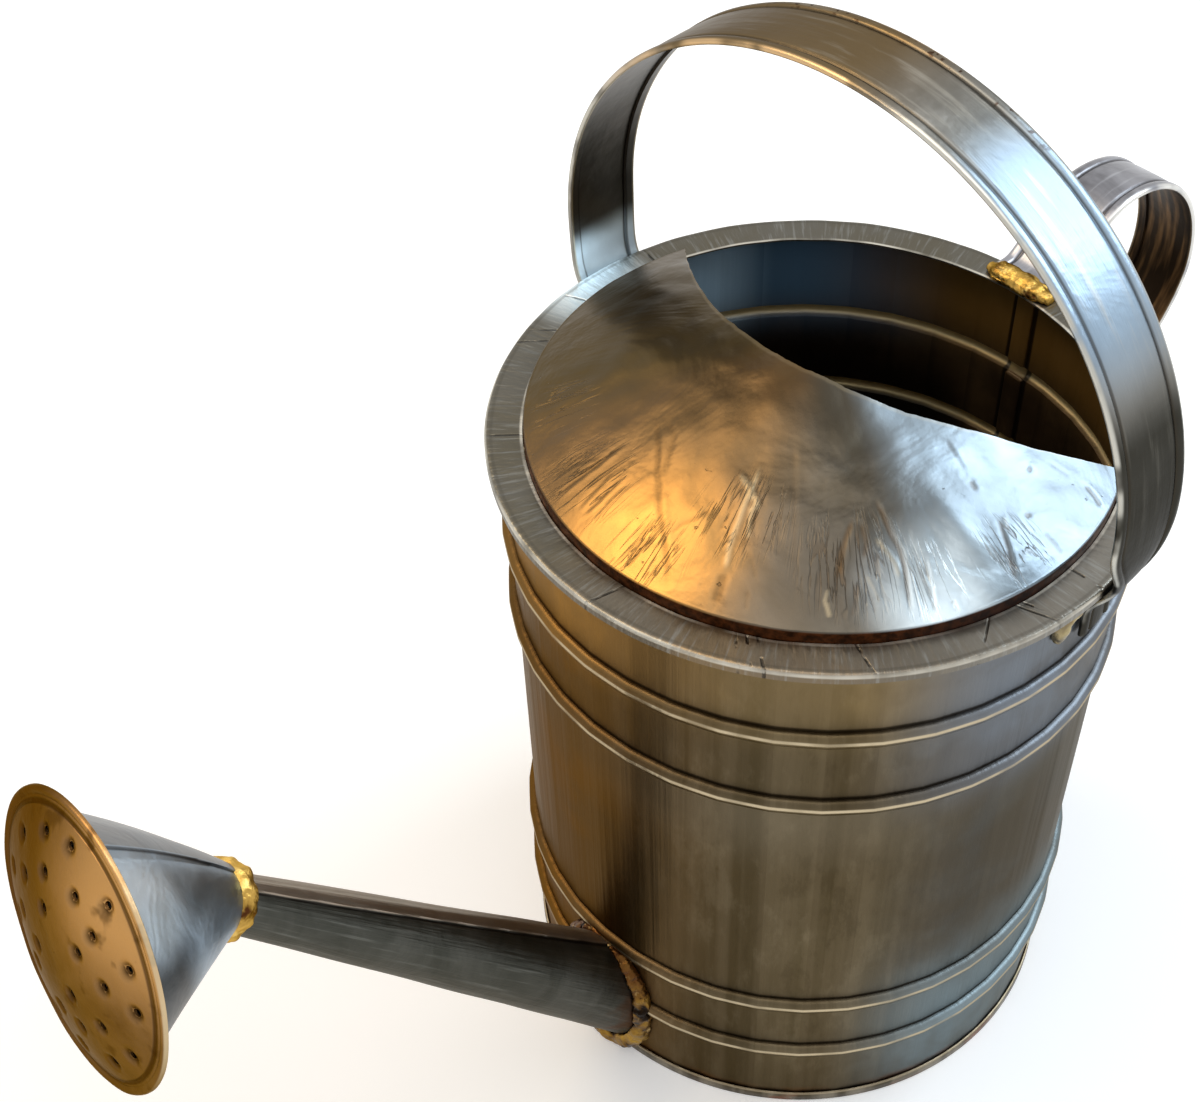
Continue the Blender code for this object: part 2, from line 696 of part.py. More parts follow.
def brazes(can_space):
    spout_brazes(can_space)
    collar_space = collar_and_gap()
    hoop_solders((can_space, collar_space, hoop_handle("hoop_space", grow=GAP)))
    rear_brazes((can_space, collar_space, rear_handle("rear_space", grow=GAP)))


PARTS, CUTTERS = start_scene()
FRAME = bpy.data.objects.new("can_frame", None)
bpy.context.scene.collection.objects.link(FRAME)

body = body_and_bottom()
collar_and_hood()
space = can_and_gap()
spout_and_rose(body, space)
hoop_handle("hoop_handle", BRIGHT_STEEL)
rear_handle("rear_handle", DULL_STEEL)
brazes(space)
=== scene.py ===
# %% [markdown]
# # A tarnished watering can
#
# This lesson dresses a watering can of galvanised sheet in Blender. The solids of the can are
# loaded first and give every size. Each piece is then made again as thin, slightly uneven metal,
# and gets a finish worked out from its place on the can: brown and bronze stains towards the
# spout, cool grey on the other side, rust in the seams, and bright edges that are partly worn and
# partly painted highlights. Painted reflections, glints and shade are laid into some colours too.

import math
import random

import bmesh
import bpy
import numpy
from mathutils import Matrix, Vector, noise
from mathutils.geometry import interpolate_bezier


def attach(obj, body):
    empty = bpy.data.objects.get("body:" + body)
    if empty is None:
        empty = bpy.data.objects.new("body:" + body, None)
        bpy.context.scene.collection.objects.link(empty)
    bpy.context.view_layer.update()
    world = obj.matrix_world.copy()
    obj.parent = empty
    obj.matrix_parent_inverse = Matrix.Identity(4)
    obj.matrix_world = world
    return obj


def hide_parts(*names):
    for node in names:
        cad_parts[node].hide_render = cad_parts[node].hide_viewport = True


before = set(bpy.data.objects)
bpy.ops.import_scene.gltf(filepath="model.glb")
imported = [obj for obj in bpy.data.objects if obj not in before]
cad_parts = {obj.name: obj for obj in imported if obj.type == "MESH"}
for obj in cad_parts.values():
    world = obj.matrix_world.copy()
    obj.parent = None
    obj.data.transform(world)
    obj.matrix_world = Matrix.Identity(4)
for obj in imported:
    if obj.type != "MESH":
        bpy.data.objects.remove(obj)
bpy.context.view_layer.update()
print("solids:", ", ".join(sorted(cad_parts)))

# %% [markdown]
# ## Sizes
#
# Every visual piece has to sit where its solid sits, so the sizes of the solids are repeated
# here, in metres. The origin is on the can's axis at floor level, and the spout points along +X.

# %% Sizes of the can
SHEET = 0.0009
GAP = 0.0003
CAN_HEIGHT = 0.270
FOOT_RADIUS = 0.105
TOP_RADIUS = 0.110
BEAD_HEIGHTS = (0.2313, 0.1955, 0.0701, 0.0380)
BEAD_HALF = 0.0035
BEAD_PROUD = 0.0030
RECESS = 0.003
HEM_HEIGHT = 0.005
COLLAR_RADIUS = 0.1162
MOUTH_RADIUS = 0.1030
COLLAR_DROP = 0.0040
WALL_TOP = CAN_HEIGHT - SHEET - GAP
WALL_FOOT = SHEET + GAP


def wall_radius(z):
    return FOOT_RADIUS + (TOP_RADIUS - FOOT_RADIUS) * z / CAN_HEIGHT


print("can", 2000 * TOP_RADIUS, "mm across,", 1000 * CAN_HEIGHT, "mm high")

# %% [markdown]
# ## Node maths as sums
#
# A finish is a long sum of masks and noises. Written node by node it can't be read, so one small
# class wraps an output socket and lets Python's own signs add the Math nodes. Geometry trees use
# the same Math nodes, so the same class serves there too.

# %% A wire that can be added and multiplied
class Wire:
    """An output of a node. Sums and products on it add Math nodes to its tree."""

    def __init__(self, tree, socket=None):
        self.tree = tree
        self.socket = socket

    def node(self, kind, settings=None, values=None, out=0):
        """Add a node, set it, then link or fill its sockets."""
        made = self.tree.nodes.new(kind)
        for name, value in (settings or {}).items():
            if name == "stops":
                ramp = made.color_ramp.elements
                while len(ramp) < len(value):
                    ramp.new(0.5)
                for stop, (place, colour) in zip(ramp, value):
                    stop.position = place
                    stop.color = (*colour, 1.0)
            else:
                setattr(made, name, value)
        for name, value in (values or {}).items():
            socket = made.inputs[name]
            if isinstance(value, Wire):
                self.tree.links.new(value.socket, socket)
            elif socket.type == "RGBA" and len(value) == 3:
                socket.default_value = (*value, 1.0)
            else:
                socket.default_value = value
        return Wire(self.tree, made.outputs[out])

    def maths(self, operation, first, second=0.0):
        return self.node("ShaderNodeMath", {"operation": operation}, {0: first, 1: second})

    def __add__(self, other):
        return self.maths("ADD", self, other)

    __radd__ = __add__

    def __sub__(self, other):
        return self.maths("SUBTRACT", self, other)

    def __rsub__(self, other):
        return self.maths("SUBTRACT", other, self)

    def __mul__(self, other):
        return self.maths("MULTIPLY", self, other)

    __rmul__ = __mul__

    def __truediv__(self, other):
        return self.maths("DIVIDE", self, other)

    def __abs__(self):
        return self.maths("ABSOLUTE", self)

    def most(self, other):
        return self.maths("MAXIMUM", self, other)

    def least(self, other):
        return self.maths("MINIMUM", self, other)

    def rise(self, low, high):
        """0 up to low, 1 from high on, smooth between. Falls where low is above high."""
        return self.node("ShaderNodeMapRange", {"interpolation_type": "SMOOTHSTEP"},
                         {0: self, 1: low, 2: high})

    def mix(self, first, second):
        """Colour that goes from the first to the second as this mask goes from 0 to 1."""
        return self.node("ShaderNodeMix", {"data_type": "RGBA"}, {0: self, 6: first, 7: second},
                         out=2)

    def tones(self, first, second):
        """Colour that goes from one hex code to another with this mask."""
        return self.mix(tone(first), tone(second))


print("wires ready")

# %% [markdown]
# ## Places on the can
#
# Most marks on a turned can run round it, up it or out along it. So each finish starts from the
# point on the piece, its angle round the axis and its distance from the axis. Noise that is read
# at a stretched point gives streaks: stretched upwards on the wall, outwards on the collar.

# %% Tones and masks
def tone(code):
    """Linear colour of a hex code as a painter's chart gives it."""
    shares = [int(code[i:i + 2], 16) / 255 for i in (1, 3, 5)]
    return tuple(s / 12.92 if s <= 0.04045 else ((s + 0.055) / 1.055) ** 2.4 for s in shares)


def coats(colour, *layers):
    """Lay tones over a colour, one after the other. Each layer is its mask and its hex code."""
    for mask, code in layers:
        colour = mask.mix(colour, tone(code))
    return colour


def strongest(masks):
    """The highest of several masks at each point."""
    found = None
    for mask in masks:
        found = mask if found is None else found.most(mask)
    return found


print("middle grey is", [round(share, 3) for share in tone("#808080")])

# %% The point that is being coloured
class Place:
    """The point that is being coloured, in the ways that the finishes need it."""

    def __init__(self, tree):
        start = Wire(tree)
        self.point = start.node("ShaderNodeTexCoord", out="Object")
        self.x, self.y, self.z = (
            start.node("ShaderNodeSeparateXYZ", values={0: self.point}, out=i) for i in range(3))
        self.turn = start.maths("ARCTAN2", self.y, self.x)
        self.out = start.maths("SQRT", self.x * self.x + self.y * self.y)

    def vector(self, x, y, z):
        return self.point.node("ShaderNodeCombineXYZ", values={0: x, 1: y, 2: z})

    def noise(self, scale, detail=3.0, rough=0.5, warp=0.0, at=None):
        return self.point.node("ShaderNodeTexNoise", values={
            "Vector": at or self.point, "Scale": scale, "Detail": detail,
            "Roughness": rough, "Distortion": warp})

    def round_point(self, across, along):
        """A point to read noise at, stretched round the axis and with no join at the back."""
        return self.vector(self.x / self.out * across, self.y / self.out * across,
                           (self.out + self.z) * along)

    def round_streaks(self, across, along, detail=3.0):
        """Noise that changes fast round the can and slowly along the sheet's fall."""
        return self.noise(1.0, detail, at=self.round_point(across, along))

    def far_from(self, centre):
        return self.point.node("ShaderNodeVectorMath", {"operation": "DISTANCE"},
                               {0: self.point, 1: centre}, out="Value")

    def spot(self, centre, reach, soft=1.0):
        """1 at a point of the can, fading to 0 at a reach from it."""
        return self.far_from(centre).rise(reach, reach * (1 - soft))

    def along(self, origin, *ways):
        """How far the point lies from an origin along each way."""
        off = self.point.node("ShaderNodeVectorMath", {"operation": "SUBTRACT"},
                              {0: self.point, 1: tuple(origin)})
        return [off.node("ShaderNodeVectorMath", {"operation": "DOT_PRODUCT"},
                         {0: off, 1: tuple(way)}, out="Value") for way in ways]

    def mark(self, name):
        """A number kept on the piece's points."""
        return self.point.node("ShaderNodeAttribute", {"attribute_name": name}, out="Fac")

    def bump(self, height, depth, after=None):
        values = {"Height": height, "Distance": depth, "Strength": 1.0}
        if after:
            values["Normal"] = after
        return self.point.node("ShaderNodeBump", values=values)


# %% A finish from a function
def new_finish(name, build):
    """Metal whose colour, roughness and relief are worked out by a function of the place."""
    material = bpy.data.materials.new(name)
    material.use_nodes = True
    shader = material.node_tree.nodes["Principled BSDF"]
    shader.inputs["Metallic"].default_value = 1.0
    for socket, value in build(Place(material.node_tree)).items():
        if isinstance(value, Wire):
            material.node_tree.links.new(value.socket, shader.inputs[socket])
        elif isinstance(value, tuple):
            shader.inputs[socket].default_value = (*value, 1.0)
        else:
            shader.inputs[socket].default_value = value
    print("finish:", name, "-", len(material.node_tree.nodes), "nodes")
    return material


print("helpers for finishes ready")

# %% [markdown]
# ## Camera
#
# The photograph was taken from high in front of the can, with the spout coming towards the left.
# The camera stands at the same point, found from the ellipses of the can's rings.

# %% Camera
camera_data = bpy.data.cameras.new("camera")
camera_data.sensor_width = 36.0
camera_data.lens = 62.78
camera = bpy.data.objects.new("camera", camera_data)
camera.location = (0.41549, 0.34667, 0.75517)
camera.rotation_euler = [math.radians(a) for a in (44.4488, 1.0805, 136.9658)]
bpy.context.scene.collection.objects.link(camera)
bpy.context.scene.camera = camera
bpy.context.scene.view_settings.view_transform = "Standard"
print("camera", round(camera.location.length, 3), "m from the foot")

# %% [markdown]
# ## Floor and light
#
# Polished metal shows what stands round it, so the light does most of the work. A pale floor and
# a pale surround are seen by the camera and in the metal. The floor glows a little, and more with
# distance, so that it stays pale to its far edge. A large warm panel hangs over the spout's left
# and a large cool one over the back, so that the hood turns from gold to blue-grey as it does in
# the photograph.

# %% Surround and floor
def pale_surround(tree, shade, level):
    """Colour that is white for the camera and in reflections, and dimmer as a light."""
    path = Wire(tree).node("ShaderNodeLightPath", out="Is Camera Ray")
    seen = path
    for other in ("Is Glossy Ray", "Is Transmission Ray"):
        seen = seen + Wire(tree).node("ShaderNodeLightPath", out=other)
    return seen.least(1.0).mix(tuple(c * level for c in shade), (1.0, 1.0, 1.0))


world = bpy.data.worlds.new("studio")
bpy.context.scene.world = world
world.use_nodes = True
background = world.node_tree.nodes["Background"]
surround = pale_surround(world.node_tree, (0.95, 0.97, 1.0), 0.42)
world.node_tree.links.new(surround.socket, background.inputs["Color"])

bpy.ops.mesh.primitive_plane_add(size=8.0)
floor = bpy.context.object
floor.name = "floor"
floor_finish = bpy.data.materials.new("pale_floor")
floor_finish.use_nodes = True
floor_shader = floor_finish.node_tree.nodes["Principled BSDF"]
floor_shader.inputs["Base Color"].default_value = (0.86, 0.86, 0.86, 1.0)
floor_shader.inputs["Roughness"].default_value = 0.9
seen = pale_surround(floor_finish.node_tree, (0.0, 0.0, 0.0), 0.0)
far = Place(floor_finish.node_tree).out.rise(0.45, 2.2)
lift = far.mix((0.42, 0.42, 0.42), (1.0, 1.0, 1.0))
lift = seen.node("ShaderNodeMix", {"data_type": "RGBA", "blend_type": "MULTIPLY"},
                 {0: 1.0, 6: lift, 7: seen}, out=2)
floor_finish.node_tree.links.new(lift.socket, floor_shader.inputs["Emission Color"])
floor_shader.inputs["Emission Strength"].default_value = 0.72
floor.data.materials.append(floor_finish)
print("floor:", floor.dimensions.x, "m across")

# %% Light panels
CAN_MIDDLE = Vector((0, 0, 0.2))


def panel(name, place, size, power, colour):
    """Soft square light that looks at the can."""
    data = bpy.data.lights.new(name, "AREA")
    data.shape = "RECTANGLE"
    data.size, data.size_y = size
    data.energy = power
    data.color = colour
    lamp = bpy.data.objects.new(name, data)
    lamp.location = place
    lamp.rotation_euler = (CAN_MIDDLE - Vector(place)).to_track_quat("-Z", "Y").to_euler()
    bpy.context.scene.collection.objects.link(lamp)


panel("warm_panel", (0.55, -0.95, 1.9), (1.0, 1.0), 16.0, (1.0, 0.80, 0.54))
panel("cool_panel", (-1.25, 0.62, 1.5), (1.1, 1.1), 21.0, (0.78, 0.90, 1.0))
panel("top_panel", (0.3, 0.2, 2.6), (1.6, 1.6), 16.0, (1.0, 0.97, 0.93))

# %% [markdown]
# ## Sheets from rows of points
#
# Most pieces are one sheet, turned, rolled or carried along a path. They are made as rows of
# points joined by four-sided faces. Closing the rows both ways gives a wall with thickness.

# %% Rows into a mesh
def rows_mesh(name, rows, closed=False, ring=True, inner=(), caps=False, under=math.inf):
    """Mesh from rows of points. Columns listed in inner take the second finish, and so do rows
    from the one numbered under."""
    bm = bmesh.new()
    verts = [[bm.verts.new(p) for p in row] for row in rows]
    count = len(rows[0])
    pairs = list(zip(verts, verts[1:]))
    if closed:
        pairs.append((verts[-1], verts[0]))
    for k, (row, after) in enumerate(pairs):
        for i in range(count if ring else count - 1):
            j = (i + 1) % count
            face = bm.faces.new((after[i], after[j], row[j], row[i]))
            face.material_index = 1 if i in inner or k >= under else 0
    if caps:
        bm.faces.new(verts[0])
        bm.faces.new(verts[-1])
    if closed or caps:
        bmesh.ops.recalc_face_normals(bm, faces=bm.faces)
    mesh = bpy.data.meshes.new(name)
    bm.to_mesh(mesh)
    bm.free()
    return mesh


# %% Pieces and what is done to them
SHARP = math.radians(40)


def smooth_shade(mesh):
    """Smooth, with edges kept where faces meet steeply."""
    mesh.shade_smooth()
    mesh.set_sharp_from_angle(angle=SHARP)


def new_piece(name, mesh, finishes):
    piece = bpy.data.objects.new(name, mesh)
    bpy.context.scene.collection.objects.link(piece)
    for finish in finishes:
        mesh.materials.append(finish)
    smooth_shade(mesh)
    return piece


def settled(piece):
    """The same piece with its modifiers worked into its mesh."""
    bpy.context.view_layer.update()
    graph = bpy.context.evaluated_depsgraph_get()
    mesh = bpy.data.meshes.new_from_object(piece.evaluated_get(graph))
    piece.modifiers.clear()
    piece.data = mesh
    smooth_shade(mesh)
    return piece


def cut(piece, cutter_mesh):
    """Take a closed mesh away from a piece."""
    cutter = bpy.data.objects.new("cutter", cutter_mesh)
    bpy.context.scene.collection.objects.link(cutter)
    change = piece.modifiers.new("cut", "BOOLEAN")
    change.operation = "DIFFERENCE"
    change.solver = "EXACT"
    change.object = cutter
    settled(piece)
    bpy.data.objects.remove(cutter)
    return piece


def thicken(piece, depth=SHEET):
    """Sheet thickness to the inside, with the second finish there."""
    wall = piece.modifiers.new("sheet", "SOLIDIFY")
    wall.thickness = depth
    wall.offset = -1
    wall.material_offset = 1
    return settled(piece)


def stand_in(piece, slot, *nodes):
    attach(piece, "root")
    if nodes:
        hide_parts(*nodes)
    triangles = sum(len(p.vertices) - 2 for p in piece.data.polygons)
    print(f"{piece.name}: {triangles} triangles")


# %% Turned rows and smooth noise
def turned_rows(profile, steps, stir=None):
    """Rows of points of a turned outline, each moved by a function of its angle and place."""
    rows = []
    for radius, height in profile:
        row = []
        for i in range(steps):
            a = math.tau * i / steps
            r, z = stir(a, radius, height) if stir else (radius, height)
            row.append((r * math.cos(a), r * math.sin(a), z))
        rows.append(row)
    return rows


def wobble(*place, scale=1.0):
    """Smooth noise between about -1 and 1, the same each time."""
    return noise.noise(Vector(place) * scale)


print("mesh helpers ready")

# %% [markdown]
# ## Finish of the wall
#
# The wall is galvanised sheet that has gone brown. On the real can the zinc is streaked from
# top to bottom, warmer towards the spout's left and greyer to the right; the warm tone on the left
# and the blue-grey low on the right are partly painted warm light and painted cool reflection.
# Each bead's crest gets a painted highlight line, with a dark line over it. Stretched noise gives
# the streaks, and the height gives the lines.

# %% Rolled flats as numbers
FLATS = 40
FLATS_ON = 50.0
WALL_STEPS = 8 * FLATS


def flat_count(here):
    """Angle counted in rolled flats, moved on so that it is above 0 all round."""
    return here.turn * (FLATS / math.tau) + FLATS_ON


def flat_tint(here):
    """A number that is the same all over one rolled flat and differs from flat to flat."""
    flat = here.turn.maths("FLOOR", flat_count(here))
    return here.noise(1.0, 0.0, at=here.vector(flat * 3.7, 0.0, 0.0))


# %% Wall's outside
def wall_colour(here):
    # warm and cool mark the spout's left and the right: partly the zinc's tone, partly painted
    # warm light and painted cool blue-grey reflection
    warm = here.turn.rise(0.62, -0.25) * here.turn.rise(-2.0, -0.8)
    cool = here.turn.rise(0.85, 1.4) * here.turn.rise(3.05, 2.2)
    cloud = here.noise(16.0, 4.0, 0.6, 0.3)
    streak = here.round_streaks(16.0, 2.0, 5.0)
    tint = flat_tint(here)
    colour = streak.rise(0.32, 0.68).tones("#453c2a", "#5f5441")
    colour = coats(colour, (tint.rise(0.45, 0.70) * 0.34, "#7c7058"))
    mottle = here.noise(75.0, 5.0, 0.7, at=here.round_point(0.108, 0.35))
    colour = coats(
        colour, (mottle.rise(0.50, 0.66) * 0.20, "#8f836c"),
        (mottle.rise(0.46, 0.34) * 0.30, "#332b1e"))
    under_bead = here.z.rise(0.150, 0.186) * here.z.rise(0.194, 0.190)
    colour = coats(colour, (under_bead * 0.25, "#958d7b"))
    high = here.z.rise(0.215, 0.255)
    colour = coats(
        colour, (high * 0.45, "#9a835a"),
        (warm * 0.92, "#664518"),
        (warm * high * 0.65, "#b08549"),
        (cool * 0.80, "#525352"),
        (cool * here.z.rise(0.172, 0.205) * 0.8, "#7a828c"),
        (cool * here.z.rise(0.115, 0.050) * 0.65, "#889aa2"))
    colour = coats(colour, (cloud.rise(0.60, 0.42) * 0.35, "#4a3f2e"))
    return colour, streak, cloud


def bead_lines(here, colour):
    """Painted highlight line on the crest of each bead, with a dark line above it."""
    crest = strongest(abs(here.z - height - 0.0004).rise(0.0010, 0.0003)
                      for height in BEAD_HEIGHTS)
    dark_line_over_bead = strongest(abs(here.z - height - 0.0042).rise(0.0012, 0.0003)
                     for height in BEAD_HEIGHTS)
    highlight_breakup = here.noise(55.0, 2.0).rise(0.30, 0.55)
    # a dark line over each bead, then a painted highlight along each crest, broken up by noise
    colour = coats(colour, (dark_line_over_bead * 0.75, "#241c12"))
    colour = coats(colour, (crest * (highlight_breakup * 0.5 + 0.4), "#c2b396"))
    return colour, crest


def wall_outside(here):
    colour, streak, cloud = wall_colour(here)
    colour, crest = bead_lines(here, colour)
    foot = here.z.rise(0.010, 0.0025) * here.noise(40.0, 3.0).rise(0.35, 0.6)
    colour = coats(colour, (foot * 0.7, "#7a4a22"))
    rough = streak * 0.10 + 0.30 + cloud * 0.10 - crest * 0.08
    relief = here.bump(here.round_streaks(30.0, 5.0, 4.0), 0.00035)
    return {"Base Color": colour, "Roughness": rough, "Normal": relief,
            "Specular Tint": (0.56, 0.52, 0.47)}


WALL_OUTSIDE = new_finish("tarnished_wall", wall_outside)

# %% Wall's inside
def wall_inside(here):
    """Dark brown, with a painted steel-blue reflection on the flats on the side under the hoop's
    left leg, a painted warm reflection near the top, painted shade deeper down and painted
    highlights along the beads.
    """
    # blue marks the flats that get a painted steel-blue reflection, brightest on the painted lit
    # flat
    blue = here.turn.rise(-1.40, -1.75) * here.turn.rise(-2.95, -2.30)
    blue = blue * here.z.rise(0.212, 0.244)
    flats = here.turn.maths("FRACT", flat_count(here))
    tint = flat_tint(here)
    colour = here.noise(30.0, 4.0, 0.6).rise(0.35, 0.7).tones("#3b2e20", "#5c4931")
    colour = coats(colour, (flats.rise(0.75, 1.0) * 0.4, "#1f1812"))
    lit_flat = here.turn.rise(-2.25, -2.02)
    steel = (tint.rise(0.38, 0.60) * (lit_flat * 0.8 + 0.2)).tones("#466a8a", "#b4daf6")
    steel = coats(steel, (lit_flat * 0.9, "#c2e6ff"))
    # the golden band near the top is a painted warm reflection
    colour = coats(
        colour, (tint.rise(0.5, 0.7) * 0.5, "#7a6547"),
        (here.z.rise(0.222, 0.250) * 0.60, "#a07838"))
    colour = blue.mix(colour, steel)
    shade = here.turn.rise(-1.30, -1.70) * here.turn.rise(-3.08, -2.85) * here.z.rise(0.236, 0.205)
    # painted shade: the shade spot and the darkening deeper in the can
    colour = coats(
        colour, (shade * 0.85, "#0a0705"),
        (here.z.rise(0.19, 0.06) * 0.7, "#17110b"))
    # painted highlight along each bead inside the can
    crest = strongest(abs(here.z - height).rise(0.0030, 0.0010) for height in BEAD_HEIGHTS)
    colour = coats(colour, (crest * 0.9, "#e2ca90"))
    for edge in (-0.0014, 0.0083):
        line = abs(here.y - edge).rise(0.0014, 0.0005) * here.x.rise(0.0, -0.05)
        colour = coats(colour, (line * 0.9, "#0c0805"))
    return {"Base Color": colour, "Roughness": 0.36, "Metallic": 0.45 - blue * 0.3,
            "Normal": here.bump(here.round_streaks(20.0, 6.0), 0.0003)}


WALL_INSIDE = new_finish("dark_inside", wall_inside)

# %% [markdown]
# ## The wall and its beads
#
# The wall is a flat sheet rolled into a slight cone. Rolling leaves narrow flats that run from top
# to bottom, and four beads are swaged outwards to stiffen it. Both follow a rule, so a Geometry
# Nodes tree does to the plain cone what the rolls and the swaging wheel do to the sheet.

# %% Helpers for geometry trees
def tree_of(name, sizes):
    """Empty geometry tree with a named input for each size. Returns it with its wires."""
    tree = bpy.data.node_groups.new(name, "GeometryNodeTree")
    tree.interface.new_socket("Geometry", in_out="INPUT", socket_type="NodeSocketGeometry")
    tree.interface.new_socket("Geometry", in_out="OUTPUT", socket_type="NodeSocketGeometry")
    for label, value in sizes.items():
        kind = {int: "Int", float: "Float"}.get(type(value), "Material")
        tree.interface.new_socket(label, in_out="INPUT", socket_type="NodeSocket" + kind)
    start = tree.nodes.new("NodeGroupInput")
    wires = {s.name: Wire(tree, s) for s in start.outputs if s.name}
    return tree, wires


def finish_tree(tree, geometry, finish):
    """End the tree with real geometry that has its finish."""
    real = geometry.node("GeometryNodeRealizeInstances", values={0: geometry})
    dressed = real.node("GeometryNodeSetMaterial", values={"Geometry": real, "Material": finish})
    end = tree.nodes.new("NodeGroupOutput")
    tree.links.new(dressed.socket, end.inputs[0])


def add_tree(piece, tree, sizes):
    """Put the tree on a piece. Its inputs are set by identifier before it is first worked out."""
    change = piece.modifiers.new(tree.name, "NODES")
    change.node_group = tree
    for item in tree.interface.items_tree:
        if item.in_out == "INPUT" and item.name in sizes:
            change[item.identifier] = sizes[item.name]
    return change


# %% Rolled wall with swaged beads
def swage_tree(sizes):
    tree, wires = tree_of("roll_and_swage", sizes)
    at = Wire(tree).node("GeometryNodeInputPosition")
    x, y, z = (at.node("ShaderNodeSeparateXYZ", values={0: at}, out=i) for i in range(3))
    turn = at.maths("ARCTAN2", y, x)
    share = at.maths("FRACT", turn * wires["Flats"] / math.tau + FLATS_ON) - 0.5
    push = (share * share * 4.0 - 0.5) * wires["Flat depth"]
    for label in ("Bead 1", "Bead 2", "Bead 3", "Bead 4"):
        off = abs(z - wires[label]) / wires["Bead half"]
        push = push + at.maths("SQRT", (1.0 - off * off).most(0.0)) * wires["Bead proud"]
    flat = at.node("ShaderNodeCombineXYZ", values={0: x, 1: y, 2: 0.0})
    way = flat.node("ShaderNodeVectorMath", {"operation": "NORMALIZE"}, {0: flat})
    move = way.node("ShaderNodeVectorMath", {"operation": "SCALE"}, {0: way, "Scale": push})
    moved = wires["Geometry"].node("GeometryNodeSetPosition",
                                   values={"Geometry": wires["Geometry"], "Offset": move})
    finish_tree(tree, moved, wires["Finish"])
    return tree


def wall_heights():
    """Close together at the beads, wider between them."""
    marks = [WALL_FOOT, WALL_TOP]
    for height in BEAD_HEIGHTS:
        marks += [height + BEAD_HALF * math.sin(math.pi * i / 16) for i in range(-8, 9)]
        marks += [height - BEAD_HALF - 0.0006, height + BEAD_HALF + 0.0006]
    marks.sort(reverse=True)
    filled = [marks[0]]
    for mark in marks[1:]:
        gap = filled[-1] - mark
        steps = max(1, math.ceil(gap / 0.012))
        filled += [filled[-1] - gap * i / steps for i in range(1, steps + 1)]
    return filled


WALL_SIZES = {"Flats": float(FLATS), "Flat depth": 0.00022, "Bead half": BEAD_HALF,
              "Bead proud": BEAD_PROUD, "Finish": WALL_OUTSIDE}
WALL_SIZES.update({f"Bead {i + 1}": height for i, height in enumerate(BEAD_HEIGHTS)})

rolled = turned_rows([(wall_radius(z), z) for z in wall_heights()], WALL_STEPS)
wall = new_piece("can_wall", rows_mesh("can_wall", rolled), [WALL_OUTSIDE, WALL_INSIDE])
add_tree(wall, swage_tree(WALL_SIZES), WALL_SIZES)
settled(wall)
while len(wall.data.materials) < 2:
    wall.data.materials.append(WALL_INSIDE)
thicken(wall)
print("wall is", round(wall.dimensions.x * 1000, 1), "mm across its beads")

# %% [markdown]
# ## Spout's line
#
# The spout is a slender cone that meets the wall low down. Its axis gives the hole in the wall,
# the tube, both brazed joints and the rose, so it is worked out once.

# %% Spout's axis and the hole in the wall
SPOUT_LOW = 0.0025
SPOUT_RISE = math.radians(53.6)
SPOUT_LENGTH = 0.2546
SPOUT_ROOT_RADIUS = 0.0187
SPOUT_NECK_RADIUS = 0.0089
SPOUT_ENTRY = 0.0025
TAPER = (SPOUT_NECK_RADIUS - SPOUT_ROOT_RADIUS) / SPOUT_LENGTH
AXIS = Vector((math.cos(SPOUT_RISE), 0, math.sin(SPOUT_RISE)))
ROOT = Vector((wall_radius(SPOUT_LOW) + BEAD_PROUD, 0,
               SPOUT_LOW + SPOUT_ROOT_RADIUS / AXIS.x + BEAD_PROUD * math.tan(SPOUT_RISE)))
ASIDE = Vector((0, 1, 0))
SPOUT_UP = AXIS.cross(ASIDE)


def spout_spoke(a):
    """Way from the spout's axis to its outside at an angle round it."""
    return ASIDE * math.cos(a) + SPOUT_UP * math.sin(a)


def cone_along(first, last, grow, steps=96):
    """Closed taper on the spout's axis, to cut with."""
    rows = []
    for s in (first, last):
        radius = SPOUT_ROOT_RADIUS + TAPER * s + grow
        row = []
        for i in range(steps):
            row.append(ROOT + AXIS * s + spout_spoke(math.tau * i / steps) * radius)
        rows.append(row)
    return rows_mesh("taper", rows, caps=True)


cut(wall, cone_along(-0.042, 0.05, -SHEET))
stand_in(wall, "tarnished_sheet", "body_shell")

# %% [markdown]
# ## Lock seam
#
# The sheet's two edges are folded into each other inside the wall, at the back. Only the folded
# strip shows, as a flat band with a dark line on either side of it.

# %% Lock seam inside the wall
SEAM_TURN = math.radians(176)
SEAM_WIDTH = 0.0084
SEAM_THICKNESS = 0.0012
SEAM_SUNK = 0.0002


def bead_out(z):
    push = 0.0
    for height in BEAD_HEIGHTS:
        off = (z - height) / BEAD_HALF
        push += BEAD_PROUD * math.sqrt(max(0.0, 1 - off * off))
    return push


def seam_rows():
    """Section of the strip at each height: flat, with rounded edges that touch the wall."""
    rows = []
    section = [(0.0, 0.0), (0.03, 0.7), (0.12, 1.0), (0.88, 1.0), (0.97, 0.7), (1.0, 0.0)]
    for z in wall_heights():
        if z < RECESS + SHEET:
            continue
        row = []
        base = wall_radius(z) + bead_out(z) - SHEET + SEAM_SUNK
        for share, rise in section:
            a = SEAM_TURN + share * SEAM_WIDTH / TOP_RADIUS
            r = base - rise * (SEAM_THICKNESS + SEAM_SUNK)
            row.append((r * math.cos(a), r * math.sin(a), z))
        rows.append(row)
    return rows


seam = new_piece("lock_seam", rows_mesh("lock_seam", seam_rows(), caps=True), [WALL_INSIDE])
stand_in(seam, "tarnished_sheet")

# %% [markdown]
# ## Hemmed bottom
#
# The bottom plate is turned down round the foot and rolled over the wall, so that the can stands
# on a thin hem. Dirt and rust gather in the line over the hem.

